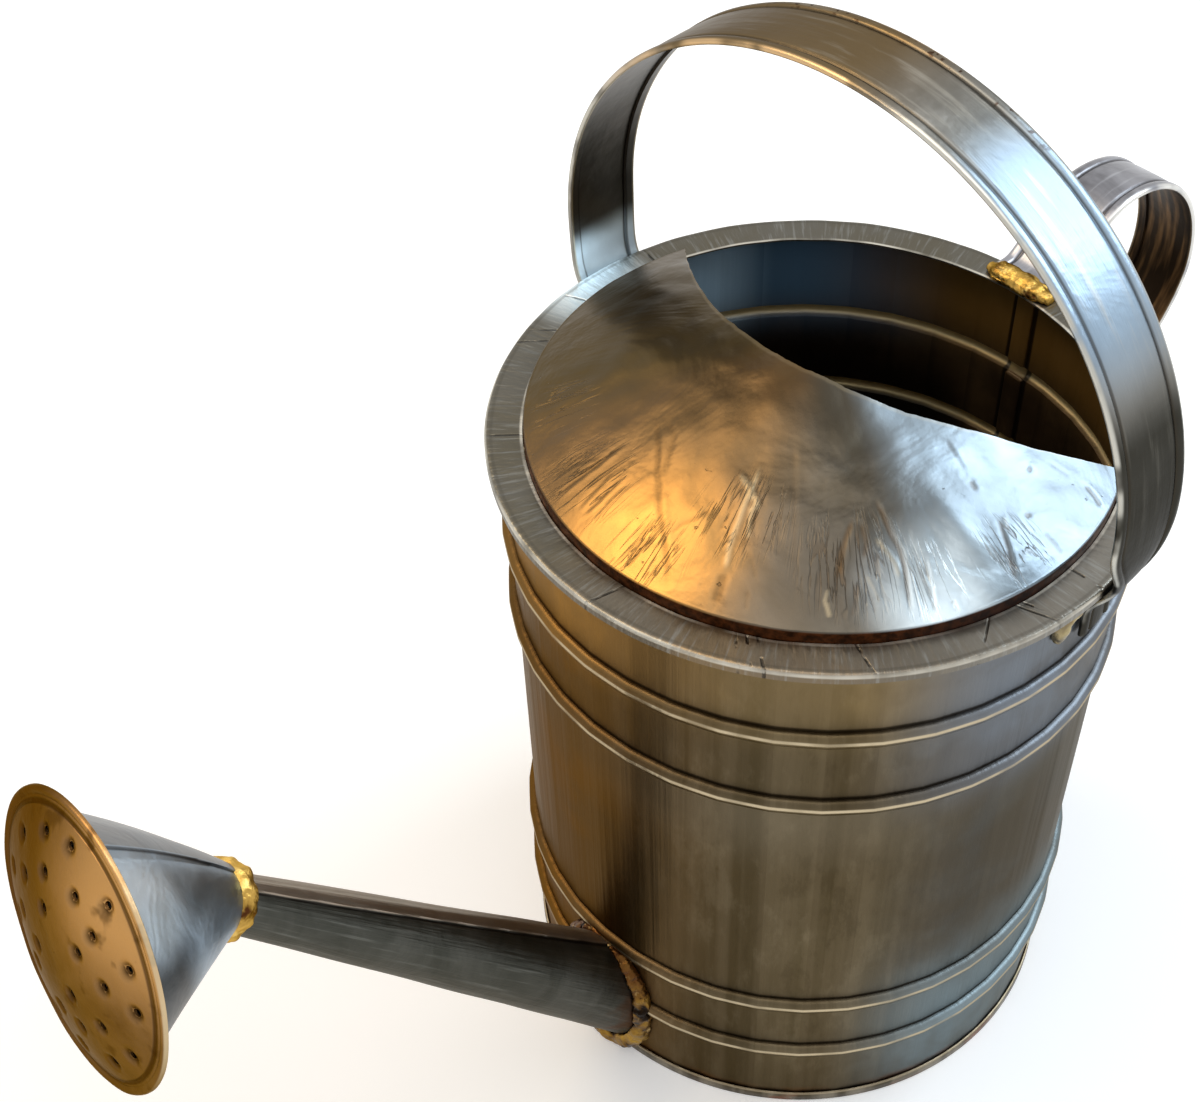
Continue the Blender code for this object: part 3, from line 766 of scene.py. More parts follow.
# %% Bottom plate
def hem_colour(here):
    at_foot = here.out.rise(0.096, 0.102)
    stain = here.round_streaks(14.0, 8.0) * at_foot + here.noise(28.0, 4.0, 0.6) * (1 - at_foot)
    colour = stain.rise(0.35, 0.65).tones("#4f4636", "#857c6c")
    inside = here.z.rise(0.0030, 0.0036) * here.out.rise(0.1005, 0.0990)
    colour = coats(colour, (inside * 0.7, "#33261a"))
    rust = here.noise(45.0, 4.0, 0.6).rise(0.50, 0.62) * here.z.rise(0.0062, 0.0020)
    colour = coats(colour, (rust * 0.75, "#7c4520"))
    edge = abs(here.z - 0.0047).rise(0.0007, 0.0001)
    colour = coats(colour, (edge * 0.5, "#b0a288"))
    return {"Base Color": colour, "Roughness": 0.42,
            "Normal": here.bump(here.noise(180.0, 3.0), 0.0003)}


HEM_FINISH = new_finish("hemmed_foot", hem_colour)
FOOT_STEPS = 256
NEAR_AXIS = 0.0005
HALF_WAY = 0.060
hem_in = wall_radius(HEM_HEIGHT) + GAP
plate_in = FOOT_RADIUS - SHEET - GAP
bottom_profile = [
    (NEAR_AXIS, RECESS + SHEET), (HALF_WAY, RECESS + SHEET), (plate_in - 0.0006, RECESS + SHEET),
    (plate_in, RECESS + SHEET - 0.0004), (plate_in, SHEET), (hem_in, SHEET),
    (hem_in, HEM_HEIGHT - 0.0002), (hem_in + 0.0003, HEM_HEIGHT),
    (hem_in + SHEET - 0.0002, HEM_HEIGHT - 0.0001), (hem_in + SHEET, HEM_HEIGHT - 0.0006),
    (hem_in + SHEET, 0.0006), (hem_in + SHEET - 0.0004, 0.0001), (hem_in, 0.0),
    (plate_in - SHEET + 0.0003, 0.0), (plate_in - SHEET, 0.0004), (plate_in - SHEET, RECESS),
    (HALF_WAY, RECESS), (NEAR_AXIS, RECESS)]
bottom_rows = turned_rows(bottom_profile, FOOT_STEPS)
bottom = new_piece("hemmed_bottom", rows_mesh("hemmed_bottom", bottom_rows, closed=True),
                   [HEM_FINISH])
stand_in(bottom, "tarnished_sheet", "bottom_plate")

# %% [markdown]
# ## Collar
#
# The collar is a flat ring whose outer edge is turned down over the wall. It was beaten flat by
# hand: its face is a little wavy, both edges are rubbed bright, and short nicks cross it.

# %% Collar's finish
# place round the collar in degrees, and slant
NICKS = ((-40.7, 0.0), (-67.5, 0.03), (-71.0, 0.03), (-82.4, 0.02), (-101.5, 0.0),
         (29.0, 0.02), (31.0, 0.02), (33.0, 0.02), (70.2, -0.05), (81.0, 0.03),
         (82.4, 0.03), (93.0, 0.0), (50.0, 0.02), (4.0, -0.02), (150.0, 0.02))


def collar_colour(here):
    right = here.turn.rise(-0.2, 1.6) * here.turn.rise(3.05, 2.3)
    cloud = here.noise(35.0, 4.0, 0.6, 0.5)
    radial = here.noise(1.0, 4.0, 0.6, at=here.round_point(70.0, 60.0))
    colour = right.tones("#615c50", "#7b776f")
    brown = here.turn.rise(-0.3, 0.3) * here.turn.rise(1.2, 0.8)
    colour = coats(
        colour, (brown * 0.60, "#80694a"),
        (cloud.rise(0.38, 0.66) * 0.6, "#64625c"),
        (radial.rise(0.50, 0.72) * 0.28, "#a5a8a6"))
    # painted highlight on the collar beside the hoop's left leg
    painted_glint_by_leg = here.spot((0.006, -0.110, 0.270), 0.030, 0.8)
    colour = coats(colour, (painted_glint_by_leg * 0.9, "#ecf8fc"))
    nick = strongest(
        abs(here.turn - math.radians(turn) - (here.out - 0.110) * tilt / 0.0065).rise(
            0.0065, 0.0015) for turn, tilt in NICKS)
    nick = nick * here.noise(130.0, 2.0).rise(0.40, 0.56)
    colour = coats(colour, (nick * 0.75, "#2a2722"))
    inner = abs(here.out - MOUTH_RADIUS - 0.0004).rise(0.0010, 0.0002)
    outer = here.out.rise(COLLAR_RADIUS - 0.0009, COLLAR_RADIUS - 0.0003)
    outer = outer * here.z.rise(CAN_HEIGHT - 0.0018, CAN_HEIGHT - 0.0010)
    rubbed = (inner.most(outer * 0.8)) * here.noise(60.0, 2.0).rise(0.25, 0.65)
    colour = coats(colour, (rubbed, "#cdc8bb"))
    rust = here.spot((-0.030, 0.112, 0.267), 0.020, 0.7) * here.z.rise(0.2690, 0.2680)
    colour = coats(colour, (rust, "#5c351d"))
    groove = abs(here.out - COLLAR_RADIUS + 0.0022).rise(0.0009, 0.0002) * 0.35
    colour = coats(colour, (groove, "#4a463e"))
    relief = here.bump(here.noise(1.0, 4.0, at=here.round_point(45.0, 90.0)) - nick * 0.8, 0.0005)
    return {"Base Color": colour, "Roughness": cloud * 0.2 + 0.28, "Normal": relief}


COLLAR_FINISH = new_finish("beaten_collar", collar_colour)

# %% Collar's ring
COLLAR_STEPS = 360
EDGE_WAVE = 0.00022
FACE_WAVES = 0.00028
COLLAR_BEND = 0.0014


def collar_stir(a, radius, height):
    """The edges shake a little, and the upper face is wavy."""
    r = radius + EDGE_WAVE * wobble(5 * math.cos(a), 5 * math.sin(a), radius * 40)
    if height > CAN_HEIGHT - 0.002:
        height += FACE_WAVES * wobble(9 * math.cos(a), 9 * math.sin(a), radius * 120)
    return r, height


bend_in = COLLAR_RADIUS - COLLAR_BEND
collar_profile = [(MOUTH_RADIUS + (bend_in - MOUTH_RADIUS) * i / 8, CAN_HEIGHT) for i in range(9)]
collar_profile += [(bend_in + COLLAR_BEND * math.sin(math.pi * i / 12),
                    CAN_HEIGHT - COLLAR_BEND + COLLAR_BEND * math.cos(math.pi * i / 12))
                   for i in range(1, 7)]
collar_profile += [
    (COLLAR_RADIUS, CAN_HEIGHT - COLLAR_DROP + 0.0003),
    (COLLAR_RADIUS - 0.0003, CAN_HEIGHT - COLLAR_DROP),
    (COLLAR_RADIUS - SHEET, CAN_HEIGHT - COLLAR_DROP), (COLLAR_RADIUS - SHEET, WALL_TOP + 0.0001),
    (bend_in, CAN_HEIGHT - SHEET), (MOUTH_RADIUS + 0.0003, CAN_HEIGHT - SHEET),
    (MOUTH_RADIUS, CAN_HEIGHT - SHEET + 0.0003)]
collar = new_piece("beaten_collar", rows_mesh("beaten_collar", turned_rows(
    collar_profile, COLLAR_STEPS, collar_stir), closed=True), [COLLAR_FINISH])
stand_in(collar, "tarnished_sheet", "top_collar")

# %% [markdown]
# ## Hood
#
# Half of the mouth is covered by a shallow dome that keeps water from slopping out. It was raised
# with a hammer, so its face rolls gently and fans of fine creases run from its rim. The metal
# is bronze towards the spout and silver-blue on the right, where the blue is partly a painted cool
# reflection; a painted gold highlight lies near the spout, a painted blue-white glint on the
# right and painted shade in two dark spots. Its upright skirt is rusty.

# %% Hood's finish
HOOD_SKIRT = 0.0046
HOOD_TOP = CAN_HEIGHT + HOOD_SKIRT
WRINKLE_FANS = (((0.084, -0.026, 0.281), 0.022), ((0.092, 0.010, 0.276), 0.018),
                ((0.066, 0.026, 0.287), 0.020), ((0.054, 0.062, 0.283), 0.024),
                ((0.040, 0.080, 0.279), 0.016), ((0.010, 0.090, 0.279), 0.016),
                ((0.066, -0.058, 0.281), 0.016))


def fine_wrinkles(here):
    """Hairline wrinkles that fan out round the deeper creases."""
    fine = here.noise(1.0, 3.0, 0.55, 0.8, at=here.vector(
        here.turn * 22.0, here.out * 22.0, here.z * 16.0))
    lines = abs(fine - 0.5).rise(0.040, 0.004)
    return lines * strongest(here.spot(centre, reach) for centre, reach in WRINKLE_FANS)


def hood_outside(here):
    # painted warm highlight near the spout
    gold = here.spot((0.094, 0.008, 0.279), 0.045, 1.0)
    bronze = here.turn.rise(0.85, 0.05)
    # silver-blue tint on the right, partly a painted cool reflection
    blue = here.turn.rise(0.95, 1.45)
    olive = here.turn.rise(-0.45, -0.95)
    cloud = here.noise(24.0, 4.0, 0.6, 0.6)
    fine = here.noise(110.0, 4.0, 0.6)
    colour = cloud.rise(0.30, 0.70).tones("#49443b", "#615c53")
    colour = coats(
        colour, (bronze * 0.85, "#6c5231"),
        (gold, "#c8924a"),
        (blue * 0.80, "#97a8b5"))
    # painted blue-white glint on the right
    glint = here.spot((0.040, 0.084, 0.279), 0.030, 0.8)
    colour = coats(
        colour, (glint * 0.9, "#e4f5ff"),
        (olive * 0.75, "#564826"),
        (cloud.rise(0.62, 0.40) * 0.28, "#4a4130"))
    shade = here.spot((0.006, -0.062, 0.288), 0.074, 0.8) * 0.50
    colour = coats(colour, (shade, "#433a28"))
    # painted shade: a dark spot that dims the top panel's reflection
    painted_dim_spot = here.spot((0.056, 0.064, 0.286), 0.040, 0.8) * 0.60
    colour = coats(colour, (painted_dim_spot, "#3f3b35"))
    line = fine_wrinkles(here)
    colour = coats(colour, (line * 0.45, "#4a3822"))
    crease = here.mark("crease")
    # negative marks, on ridges and on the free edge, get a painted highlight
    colour = coats(
        colour, (crease.rise(0.08, 1.0) * 0.50, "#4a3822"),
        ((0.0 - crease).rise(0.10, 1.0) * 0.20, "#dcc8a0"))
    band = here.z.rise(HOOD_TOP + 0.0002, HOOD_TOP - 0.0006) * here.out.rise(0.1000, 0.1015)
    rust = here.noise(1.0, 4.0, 0.6, at=here.vector(here.turn * 30.0, here.z * 300.0, 0.0))
    rusty = rust.rise(0.35, 0.65).tones("#2e1a0e", "#5c341b")
    rusty = coats(rusty, (here.turn.rise(0.9, 1.3) * 0.3, "#45454a"))
    colour = band.mix(colour, rusty)
    pit = here.noise(320.0, 2.0).rise(0.70, 0.76) * here.noise(30.0, 2.0).rise(0.55, 0.65)
    colour = coats(colour, (pit * 0.35, "#2c241a"))
    rough = 0.26 + cloud * 0.14 + fine * 0.10 + band * 0.25
    relief = here.bump(cloud * 1.4 + fine * 0.2 - line * 0.4 - pit * 0.2, 0.0009)
    return {"Base Color": colour, "Roughness": rough, "Normal": relief}


def hood_inside(here):
    colour = here.noise(30.0, 4.0).rise(0.3, 0.7).tones("#3a3124", "#5a4f3c")
    return {"Base Color": colour, "Roughness": 0.42, "Normal": here.bump(here.noise(60.0), 0.0005)}


HOOD_OUTSIDE = new_finish("hammered_hood", hood_outside)
HOOD_INSIDE = new_finish("hood_underside", hood_inside)

# %% [markdown]
# A disc trimmed with a Boolean would have a ragged free edge, so the sheet is laid out between its
# two edges instead: each column runs from a point of the bowed free edge to a point of the rim,
# then down the skirt. Smooth noise dents the dome and makes the snipped edge shake. The long
# creases are real grooves with a ridge beside them, and each is kept as a number on the points
# too, so that the finish can darken it or paint a highlight on it and on the free edge.

# %% Sizes and creases of the hood
HOOD_RISE = 0.032
HOOD_CURVE = 1.6
HOOD_EDGE_X = -0.0410
HOOD_EDGE_BOW = 0.0560
HOOD_TURN = math.radians(6)
HOOD_RIM = MOUTH_RADIUS - GAP
EASE = 0.0009
HOOD_CORNER = 0.9985
HOOD_RINGS = 92
HOOD_COLUMNS = 560
UNDERSIDE_RINGS = 12
SKIRT_FOOT = HOOD_RINGS + 9

CREASE_WIDTH = 0.0012
CREASE_DEPTH = 0.00021
# shares of the width and the depth (a ridge with a painted highlight where the second is
# negative), then places in plan in millimetres
CREASES = (
    (0.7, 1.0, ((69.3, -25.5), (78.7, -27.1), (85.9, -29.1), (93.9, -31.3))),
    (0.6, 0.5, ((75.2, -27.0), (83.1, -34.6), (90.2, -38.3))),
    (0.6, 0.6, ((79.5, -20.5), (86.7, -21.0), (94.8, -21.1))),
    (0.6, 0.8, ((79.5, -16.7), (88.5, -16.7), (94.2, -17.8))),
    (0.5, 0.5, ((80.5, -13.3), (89.4, -14.8))),
    (0.7, 0.3, ((53.9, -51.6), (61.6, -55.3), (68.3, -58.2))),
    (0.7, 0.3, ((65.3, -60.5), (70.9, -65.8))),
    (0.7, 0.3, ((71.0, -55.3), (77.9, -56.9))),
    (0.7, 0.3, ((58.5, -68.1), (61.6, -73.5))),
    (0.6, 0.4, ((70.0, -17.1), (76.8, -19.5), (83.3, -22.2))),
    (0.8, 1.0, ((56.9, -23.1), (62.9, -16.0), (71.2, -7.9), (75.9, -2.1), (81.9, 4.5),
                (87.0, 11.6), (91.0, 17.1), (97.2, 23.0))),
    (0.9, 0.7, ((56.1, -18.3), (59.4, -12.1), (65.3, -8.8), (71.6, -5.2))),
    (0.7, 0.9, ((87.6, 9.0), (92.0, 7.1), (97.4, 7.7), (100.2, 7.4))),
    (0.6, 0.5, ((83.8, 4.6), (87.6, 3.5), (92.8, 2.9))),
    (0.5, 0.4, ((83.6, 1.7), (88.5, 0.3))),
    (0.6, 0.7, ((71.6, 15.8), (75.1, 14.9), (80.0, 12.6), (83.9, 12.1))),
    (0.6, 0.4, ((95.1, 11.2), (99.3, 13.4))),
    (0.6, 0.4, ((91.0, 11.6), (97.1, 16.6))),
    (0.9, -0.9, ((50.7, 18.3), (55.4, 20.8), (60.5, 22.6), (65.2, 24.7), (71.2, 27.6),
                 (75.6, 29.7), (79.6, 32.4), (83.5, 34.9))),
    (1.4, 1.2, ((83.0, 34.5), (87.7, 37.0), (91.2, 38.8))),
    (0.9, -1.0, ((56.4, 15.0), (58.1, 20.2), (60.1, 25.8), (62.5, 29.1))),
    (0.7, 0.6, ((64.2, 20.6), (69.2, 22.4), (74.2, 23.8))),
    (0.8, -0.8, ((62.1, 26.0), (66.0, 29.0), (70.9, 33.0))),
    (0.7, 0.5, ((73.8, 34.5), (75.7, 39.5), (78.3, 43.5))),
    (0.7, 0.5, ((82.1, 43.7), (86.7, 47.5))),
    (1.0, 0.4, ((37.5, 20.1), (52.2, 34.8), (74.3, 56.9))),
    (0.8, 1.0, ((44.0, 52.3), (50.2, 55.2), (55.6, 58.6), (60.7, 62.2))),
    (0.8, 0.8, ((42.9, 54.7), (46.5, 60.7), (50.4, 63.5))),
    (0.8, 1.0, ((33.9, 52.7), (35.8, 57.5), (38.5, 63.6), (39.6, 68.9), (42.9, 74.1),
                (46.8, 78.7), (50.6, 84.0))),
    (0.9, -0.8, ((43.1, 60.9), (43.2, 65.8), (43.9, 71.2), (46.3, 75.2))),
    (0.7, -0.6, ((53.2, 67.1), (54.6, 71.9), (56.2, 76.0))),
    (0.7, 0.6, ((56.4, 66.3), (61.1, 70.0), (65.6, 73.0))),
    (0.7, -0.7, ((65.0, 62.1), (68.9, 64.1))),
    (0.8, -0.9, ((68.0, 64.2), (70.5, 68.3))),
    (0.7, 0.4, ((63.4, 65.7), (68.3, 71.3))),
    (0.6, 0.5, ((55.6, 71.1), (59.3, 77.2))),
    (0.6, 0.6, ((34.8, 74.8), (39.0, 81.2), (42.7, 86.0), (45.4, 89.4))),
    (0.6, 0.5, ((37.9, 89.7), (39.3, 93.1))),
    (0.8, 0.9, ((6.5, 81.1), (8.9, 85.4), (11.2, 89.7), (13.8, 93.7), (16.3, 97.6))),
    (0.6, -0.6, ((4.0, 81.5), (6.4, 85.8))),
    (0.8, 0.7, ((-3.4, 92.1), (-3.9, 96.9), (-3.7, 100.6))),
    (0.8, 1.0, ((-30.9, 87.5), (-30.7, 92.2), (-29.7, 95.6))),
    (1.0, 1.0, ((-17.0, 73.5), (-17.4, 75.3))),
    (1.0, 1.0, ((-3.9, 84.7), (-2.9, 86.4))),
    (0.9, 0.9, ((3.9, 66.7), (4.9, 70.2))),
    (0.7, 0.4, ((-0.1, 52.2), (1.3, 57.8), (2.6, 63.3))),
    (0.8, 0.4, ((-25.9, 76.2), (-28.6, 82.8))),
)

print("hood:", len(CREASES), "creases")


# %% Hood's dome and free edge
FINE_DENT = 0.0005
BROAD_DENT = 0.0011
RIM_FOLD = 0.0005


def dome_point(x, y):
    """A point of the dome over a place in plan, with its dents."""
    share = min(1.0, math.hypot(x, y) / HOOD_RIM)
    height = HOOD_TOP + HOOD_RISE * (1 - share ** HOOD_CURVE)
    dent = BROAD_DENT * wobble(x, y, 3.0, scale=38) + FINE_DENT * wobble(x, y, 9.0, scale=95)
    turn = math.atan2(y, x)
    fold = RIM_FOLD * wobble(11 * math.cos(turn), 11 * math.sin(turn), share * 1.4) * share ** 4
    return height + (dent + fold) * (1 - share ** 8 * 0.8)


print("middle of the hood:", round(1000 * dome_point(0.0, 0.0), 1), "mm up")


def hood_rows():
    """Rows of the outside from the free edge down the skirt, then a few rows of the underside."""
    half = math.sqrt(HOOD_RIM ** 2 - HOOD_EDGE_X ** 2)
    widest = math.atan2(half, HOOD_EDGE_X)
    columns = []
    for i in range(HOOD_COLUMNS + 1):
        t = HOOD_CORNER * (2 * i / HOOD_COLUMNS - 1)
        shake = 0.00030 * wobble(t * 24.0, 5.0, 0.0) + 0.00014 * wobble(t * 70.0, 8.0, 0.0)
        x = HOOD_EDGE_X + HOOD_EDGE_BOW * (1 - t * t) + shake
        start = Matrix.Rotation(HOOD_TURN, 2) @ Vector((x, half * t))
        turn = widest * t + HOOD_TURN
        spoke = Vector((math.cos(turn), math.sin(turn)))
        end = spoke * (HOOD_RIM - EASE)
        column = []
        for k in range(HOOD_RINGS + 1):
            at = start.lerp(end, 1 - (1 - k / HOOD_RINGS) ** 1.2)
            column.append(Vector((at.x, at.y, dome_point(at.x, at.y))))
        low = column[-1].z - EASE
        skirt = [(HOOD_RIM - EASE + EASE * math.sin(math.pi * k / 8),
                  low + EASE * math.cos(math.pi * k / 8)) for k in range(1, 5)]
        skirt += [(HOOD_RIM, low - (low - WALL_TOP) * k / 4) for k in range(1, 5)]
        skirt += [(HOOD_RIM - SHEET, WALL_TOP), (HOOD_RIM - SHEET, low)]
        column += [Vector((spoke.x * r, spoke.y * r, z)) for r, z in skirt]
        for k in range(UNDERSIDE_RINGS + 1):
            at = start.lerp(end, 0.985 * (1 - k / UNDERSIDE_RINGS))
            column.append(Vector((at.x, at.y, dome_point(at.x, at.y) - SHEET)))
        columns.append(column)
    return list(zip(*columns))


# %% Depth of the creases
def crease_marks(places):
    """Depth and mark of all the creases at an array of places in plan."""
    deep = numpy.zeros(len(places))
    mark = numpy.zeros(len(places))
    for width, depth, points in CREASES:
        width *= CREASE_WIDTH
        line = numpy.array(points) * 0.001
        share = numpy.zeros(len(places))
        nearest = numpy.full(len(places), 1.0)
        side = numpy.zeros(len(places))
        pieces = len(line) - 1
        for k in range(pieces):
            run = line[k + 1] - line[k]
            length = numpy.hypot(*run)
            off = places - line[k]
            along = numpy.clip(off @ run / length ** 2, 0, 1)
            gap = off - along[:, None] * run
            far = numpy.hypot(gap[:, 0], gap[:, 1])
            closer = far < nearest
            nearest = numpy.where(closer, far, nearest)
            share = numpy.where(closer, (k + along) / pieces, share)
            across = (off[:, 1] * run[0] - off[:, 0] * run[1]) / length
            side = numpy.where(closer, numpy.where(across > 0, far, -far), side)
        fade = numpy.clip(numpy.minimum(share, 1 - share) * 6 + 0.25, 0, 1)
        groove = numpy.exp(-(side / width) ** 2)
        ridge = numpy.exp(-((side - 1.7 * width) / width) ** 2)
        deep += (0.7 * ridge - groove) * depth * fade
        mark += groove * depth * fade
    return deep, mark


# %% Hood's sheet with its creases
hood_mesh = rows_mesh("hammered_hood", hood_rows(), closed=True, ring=False, under=SKIRT_FOOT)
coords = numpy.empty(len(hood_mesh.vertices) * 3)
hood_mesh.vertices.foreach_get("co", coords)
coords = coords.reshape(-1, 3)
deep, mark = crease_marks(coords[:, :2])
outside = numpy.arange(len(coords)) < (HOOD_RINGS + 1) * (HOOD_COLUMNS + 1)
coords[:, 2] += numpy.where(outside, deep * CREASE_DEPTH, 0.0)
# the free edge gets a negative mark, which the finish paints as a highlight
on_edge = numpy.arange(len(coords)) < 2 * (HOOD_COLUMNS + 1)
mark = numpy.where(outside, numpy.where(on_edge, -0.55, mark), 0.0)
hood_mesh.vertices.foreach_set("co", coords.ravel())
hood_mesh.attributes.new("crease", "FLOAT", "POINT").data.foreach_set("value", mark)
hood = new_piece("hammered_hood", hood_mesh, [HOOD_OUTSIDE, HOOD_INSIDE])
stand_in(hood, "burnished_sheet", "hood")

# %% [markdown]
# ## Strap handles
#
# Both handles are straps of sheet with their edges folded under, which makes the edges round and
# strong and leaves a fine line along each side. One section is carried along each path. Near a
# foot the strap takes the curve of the wall, and the hoop's feet narrow on the spout's side.

# %% Strap's section
STRAP = 0.0010
FOLD = 0.0019
FOLD_LINE = 0.0044


def strap_section(width):
    """(across, out) points: the outer face from edge to edge, then back underneath."""
    edge = [(0.00055, -FOLD), (0.00012, -0.0015), (0.0, -0.0010), (0.00015, -0.0004),
            (0.0006, 0.0), (0.0016, 0.0003), (0.0029, 0.0003), (0.0037, 0.0),
            (0.0041, -0.00055), (0.0045, -0.00055), (0.0050, -0.0001), (0.0060, 0.0)]
    under = [(0.0052, -STRAP), (0.0046, -STRAP), (0.0043, -FOLD), (0.0020, -FOLD)]
    middle = [(width / 2 + share * (width / 2 - 0.006), 0.00010) for share in (-0.5, 0.0, 0.5)]
    face = edge + middle + [(width - e, n) for e, n in reversed(edge)]
    back = [(width - e, n) for e, n in reversed(under)] + under
    return face + back, set(range(len(face) - 1, len(face) + len(back)))


def bezier(start, start_pull, end_pull, end, count):
    return [p.to_2d() for p in interpolate_bezier(start, start_pull, end_pull, end, count)]


def ways_out(path):
    """Outward direction at each point of a path."""
    found = []
    for i in range(len(path)):
        along = (path[min(i + 1, len(path) - 1)] - path[max(i - 1, 0)]).normalized()
        found.append(Vector((along.y, -along.x)))
    return found


def smooth(value):
    value = min(max(value, 0.0), 1.0)
    return value * value * (3 - 2 * value)


print("strap:", len(strap_section(0.032)[0]), "points round its section")

# %% Hoop's path
HOOP_WIDTH = 0.032
HOOP_X = -0.0076
HOOP_CLEARANCE = 0.0063
HOOP_SHIFT = 0.0030
HOOP_SPRING = 0.031
HOOP_RISE = 0.1124
HOOP_FOOT = 0.0100
HOOP_FOOT_DROP = 0.0120
HOOP_FLARE = (0.0045, 0.0085)
HOOP_LEAD = 0.0180
HOOP_TAPER = 0.0360
RIGHT_FOOT_WIDTH = 0.018
LEFT_FOOT_WIDTH = 0.029


def hoop_leg(half_span):
    rest = wall_radius(CAN_HEIGHT) + GAP + FOLD
    skirt = COLLAR_RADIUS + GAP + FOLD
    edge = CAN_HEIGHT - COLLAR_DROP
    foot_top = edge - HOOP_FOOT_DROP
    flare = Vector(HOOP_FLARE)
    low = bezier(Vector((rest, foot_top)), Vector((rest, foot_top + HOOP_FOOT_DROP / 3)),
                 Vector((skirt, edge)) - flare / 2, Vector((skirt, edge)), 12)
    top = CAN_HEIGHT + HOOP_SPRING
    high = bezier(Vector((skirt, edge)), Vector((skirt, edge)) + flare,
                  Vector((half_span, top - HOOP_LEAD)), Vector((half_span, top)), 24)
    foot = [Vector((rest, foot_top - HOOP_FOOT * (1 - i / 4))) for i in range(4)]
    return foot + low + high[1:]


def hoop_path():
    half = COLLAR_RADIUS + HOOP_CLEARANCE
    right = hoop_leg(half + HOOP_SHIFT)
    left = hoop_leg(half - HOOP_SHIFT)
    arch = []
    for i in range(1, 96):
        a = math.pi * i / 96
        arch.append(Vector((HOOP_SHIFT + half * math.cos(a),
                            CAN_HEIGHT + HOOP_SPRING + HOOP_RISE * math.sin(a))))
    return right + arch + [Vector((-p.x, p.y)) for p in reversed(left)]


print("hoop:", len(hoop_path()), "stations along its path")

# %% Hoop's strap
HOOP_WAVE = 0.00018


def hoop_rows():
    path = hoop_path()
    far = HOOP_X - HOOP_WIDTH / 2
    rows = []
    for point, way in zip(path, ways_out(path)):
        to_foot = smooth((CAN_HEIGHT + HOOP_SPRING - point.y) / HOOP_TAPER)
        foot = RIGHT_FOOT_WIDTH if point.x > 0 else LEFT_FOOT_WIDTH
        width = HOOP_WIDTH + (foot - HOOP_WIDTH) * to_foot
        section, inner = strap_section(width)
        side = math.copysign(1, point.x)
        row = []
        for across, out in section:
            wave = HOOP_WAVE * wobble(across * 70, point.x * 22, point.y * 22)
            dish = 0.0
            if to_foot > 0:
                dish = to_foot * (abs(point.x) - math.sqrt(point.x ** 2 - (far + across) ** 2))
            row.append((far + across, point.x + way.x * (out + wave) - side * dish,
                        point.y + way.y * (out + wave)))
        rows.append(row)
    return rows, inner


# %% Hoop's finishes
def hoop_near(here):
    """Width of the hoop's strap at this height, as it is less wide towards its feet."""
    to_foot = (CAN_HEIGHT + HOOP_SPRING - here.z).rise(0.0, HOOP_TAPER)
    foot = here.y.rise(-0.001, 0.001) * (RIGHT_FOOT_WIDTH - LEFT_FOOT_WIDTH) + LEFT_FOOT_WIDTH
    return HOOP_WIDTH + (foot - HOOP_WIDTH) * to_foot


def hoop_outside(here):
    across = here.x - (HOOP_X - HOOP_WIDTH / 2)
    width = hoop_near(here)
    edge = across.least(width - across)
    line = abs(edge - FOLD_LINE).rise(0.0009, 0.0003)
    rim = edge.rise(0.0016, 0.0004)
    brown = here.z.rise(0.350, 0.398) * here.y.rise(0.036, 0.000)
    # painted pale blue reflection on the hoop's right side
    painted_cool_reflection = here.spot((-0.008, 0.084, 0.384), 0.052, 0.6)
    along = here.noise(1.0, 4.0, 0.6, at=here.vector(here.x * 260.0, here.y * 22.0, here.z * 22.0))
    cloud = here.noise(30.0, 4.0, 0.6, 0.4)
    colour = cloud.rise(0.32, 0.68).tones("#716f69", "#908e88")
    colour = coats(
        colour, (brown * 0.92, "#6e5b3d"),
        (painted_cool_reflection * 0.85, "#93a9bd"))
    olive = here.z.rise(0.360, 0.335) * here.y.rise(0.0, 0.05)
    colour = coats(colour, (olive * 0.92, "#292721"))
    # the grey spot dims the painted reflection near the top
    grey = here.spot((-0.008, 0.064, 0.400), 0.034, 0.8)
    colour = coats(
        colour, (grey * 0.5, "#5f6b74"),
        (along.rise(0.52, 0.75) * (0.30 - olive * 0.22), "#c4bfb2"))
    speck = here.noise(330.0, 2.0).rise(0.60, 0.66) * here.x.rise(-0.016, -0.022)
    speck = speck * here.z.rise(0.395, 0.408)
    colour = coats(
        colour, (speck * 0.9, "#3a2415"),
        (line * 0.7, "#38332b"))
    # painted highlight along the rolled edges, broken up by noise
    lit = (brown * 0.7).tones("#bdbbb2", "#c89a55")
    highlight_breakup = here.noise(55.0, 2.0).rise(0.30, 0.52)
    colour = (rim * highlight_breakup).mix(colour, lit)
    return {"Base Color": colour, "Roughness": cloud * 0.18 + 0.24,
            "Specular Tint": (0.55, 0.55, 0.55),
            "Normal": here.bump(along * 0.5 + cloud, 0.0006)}


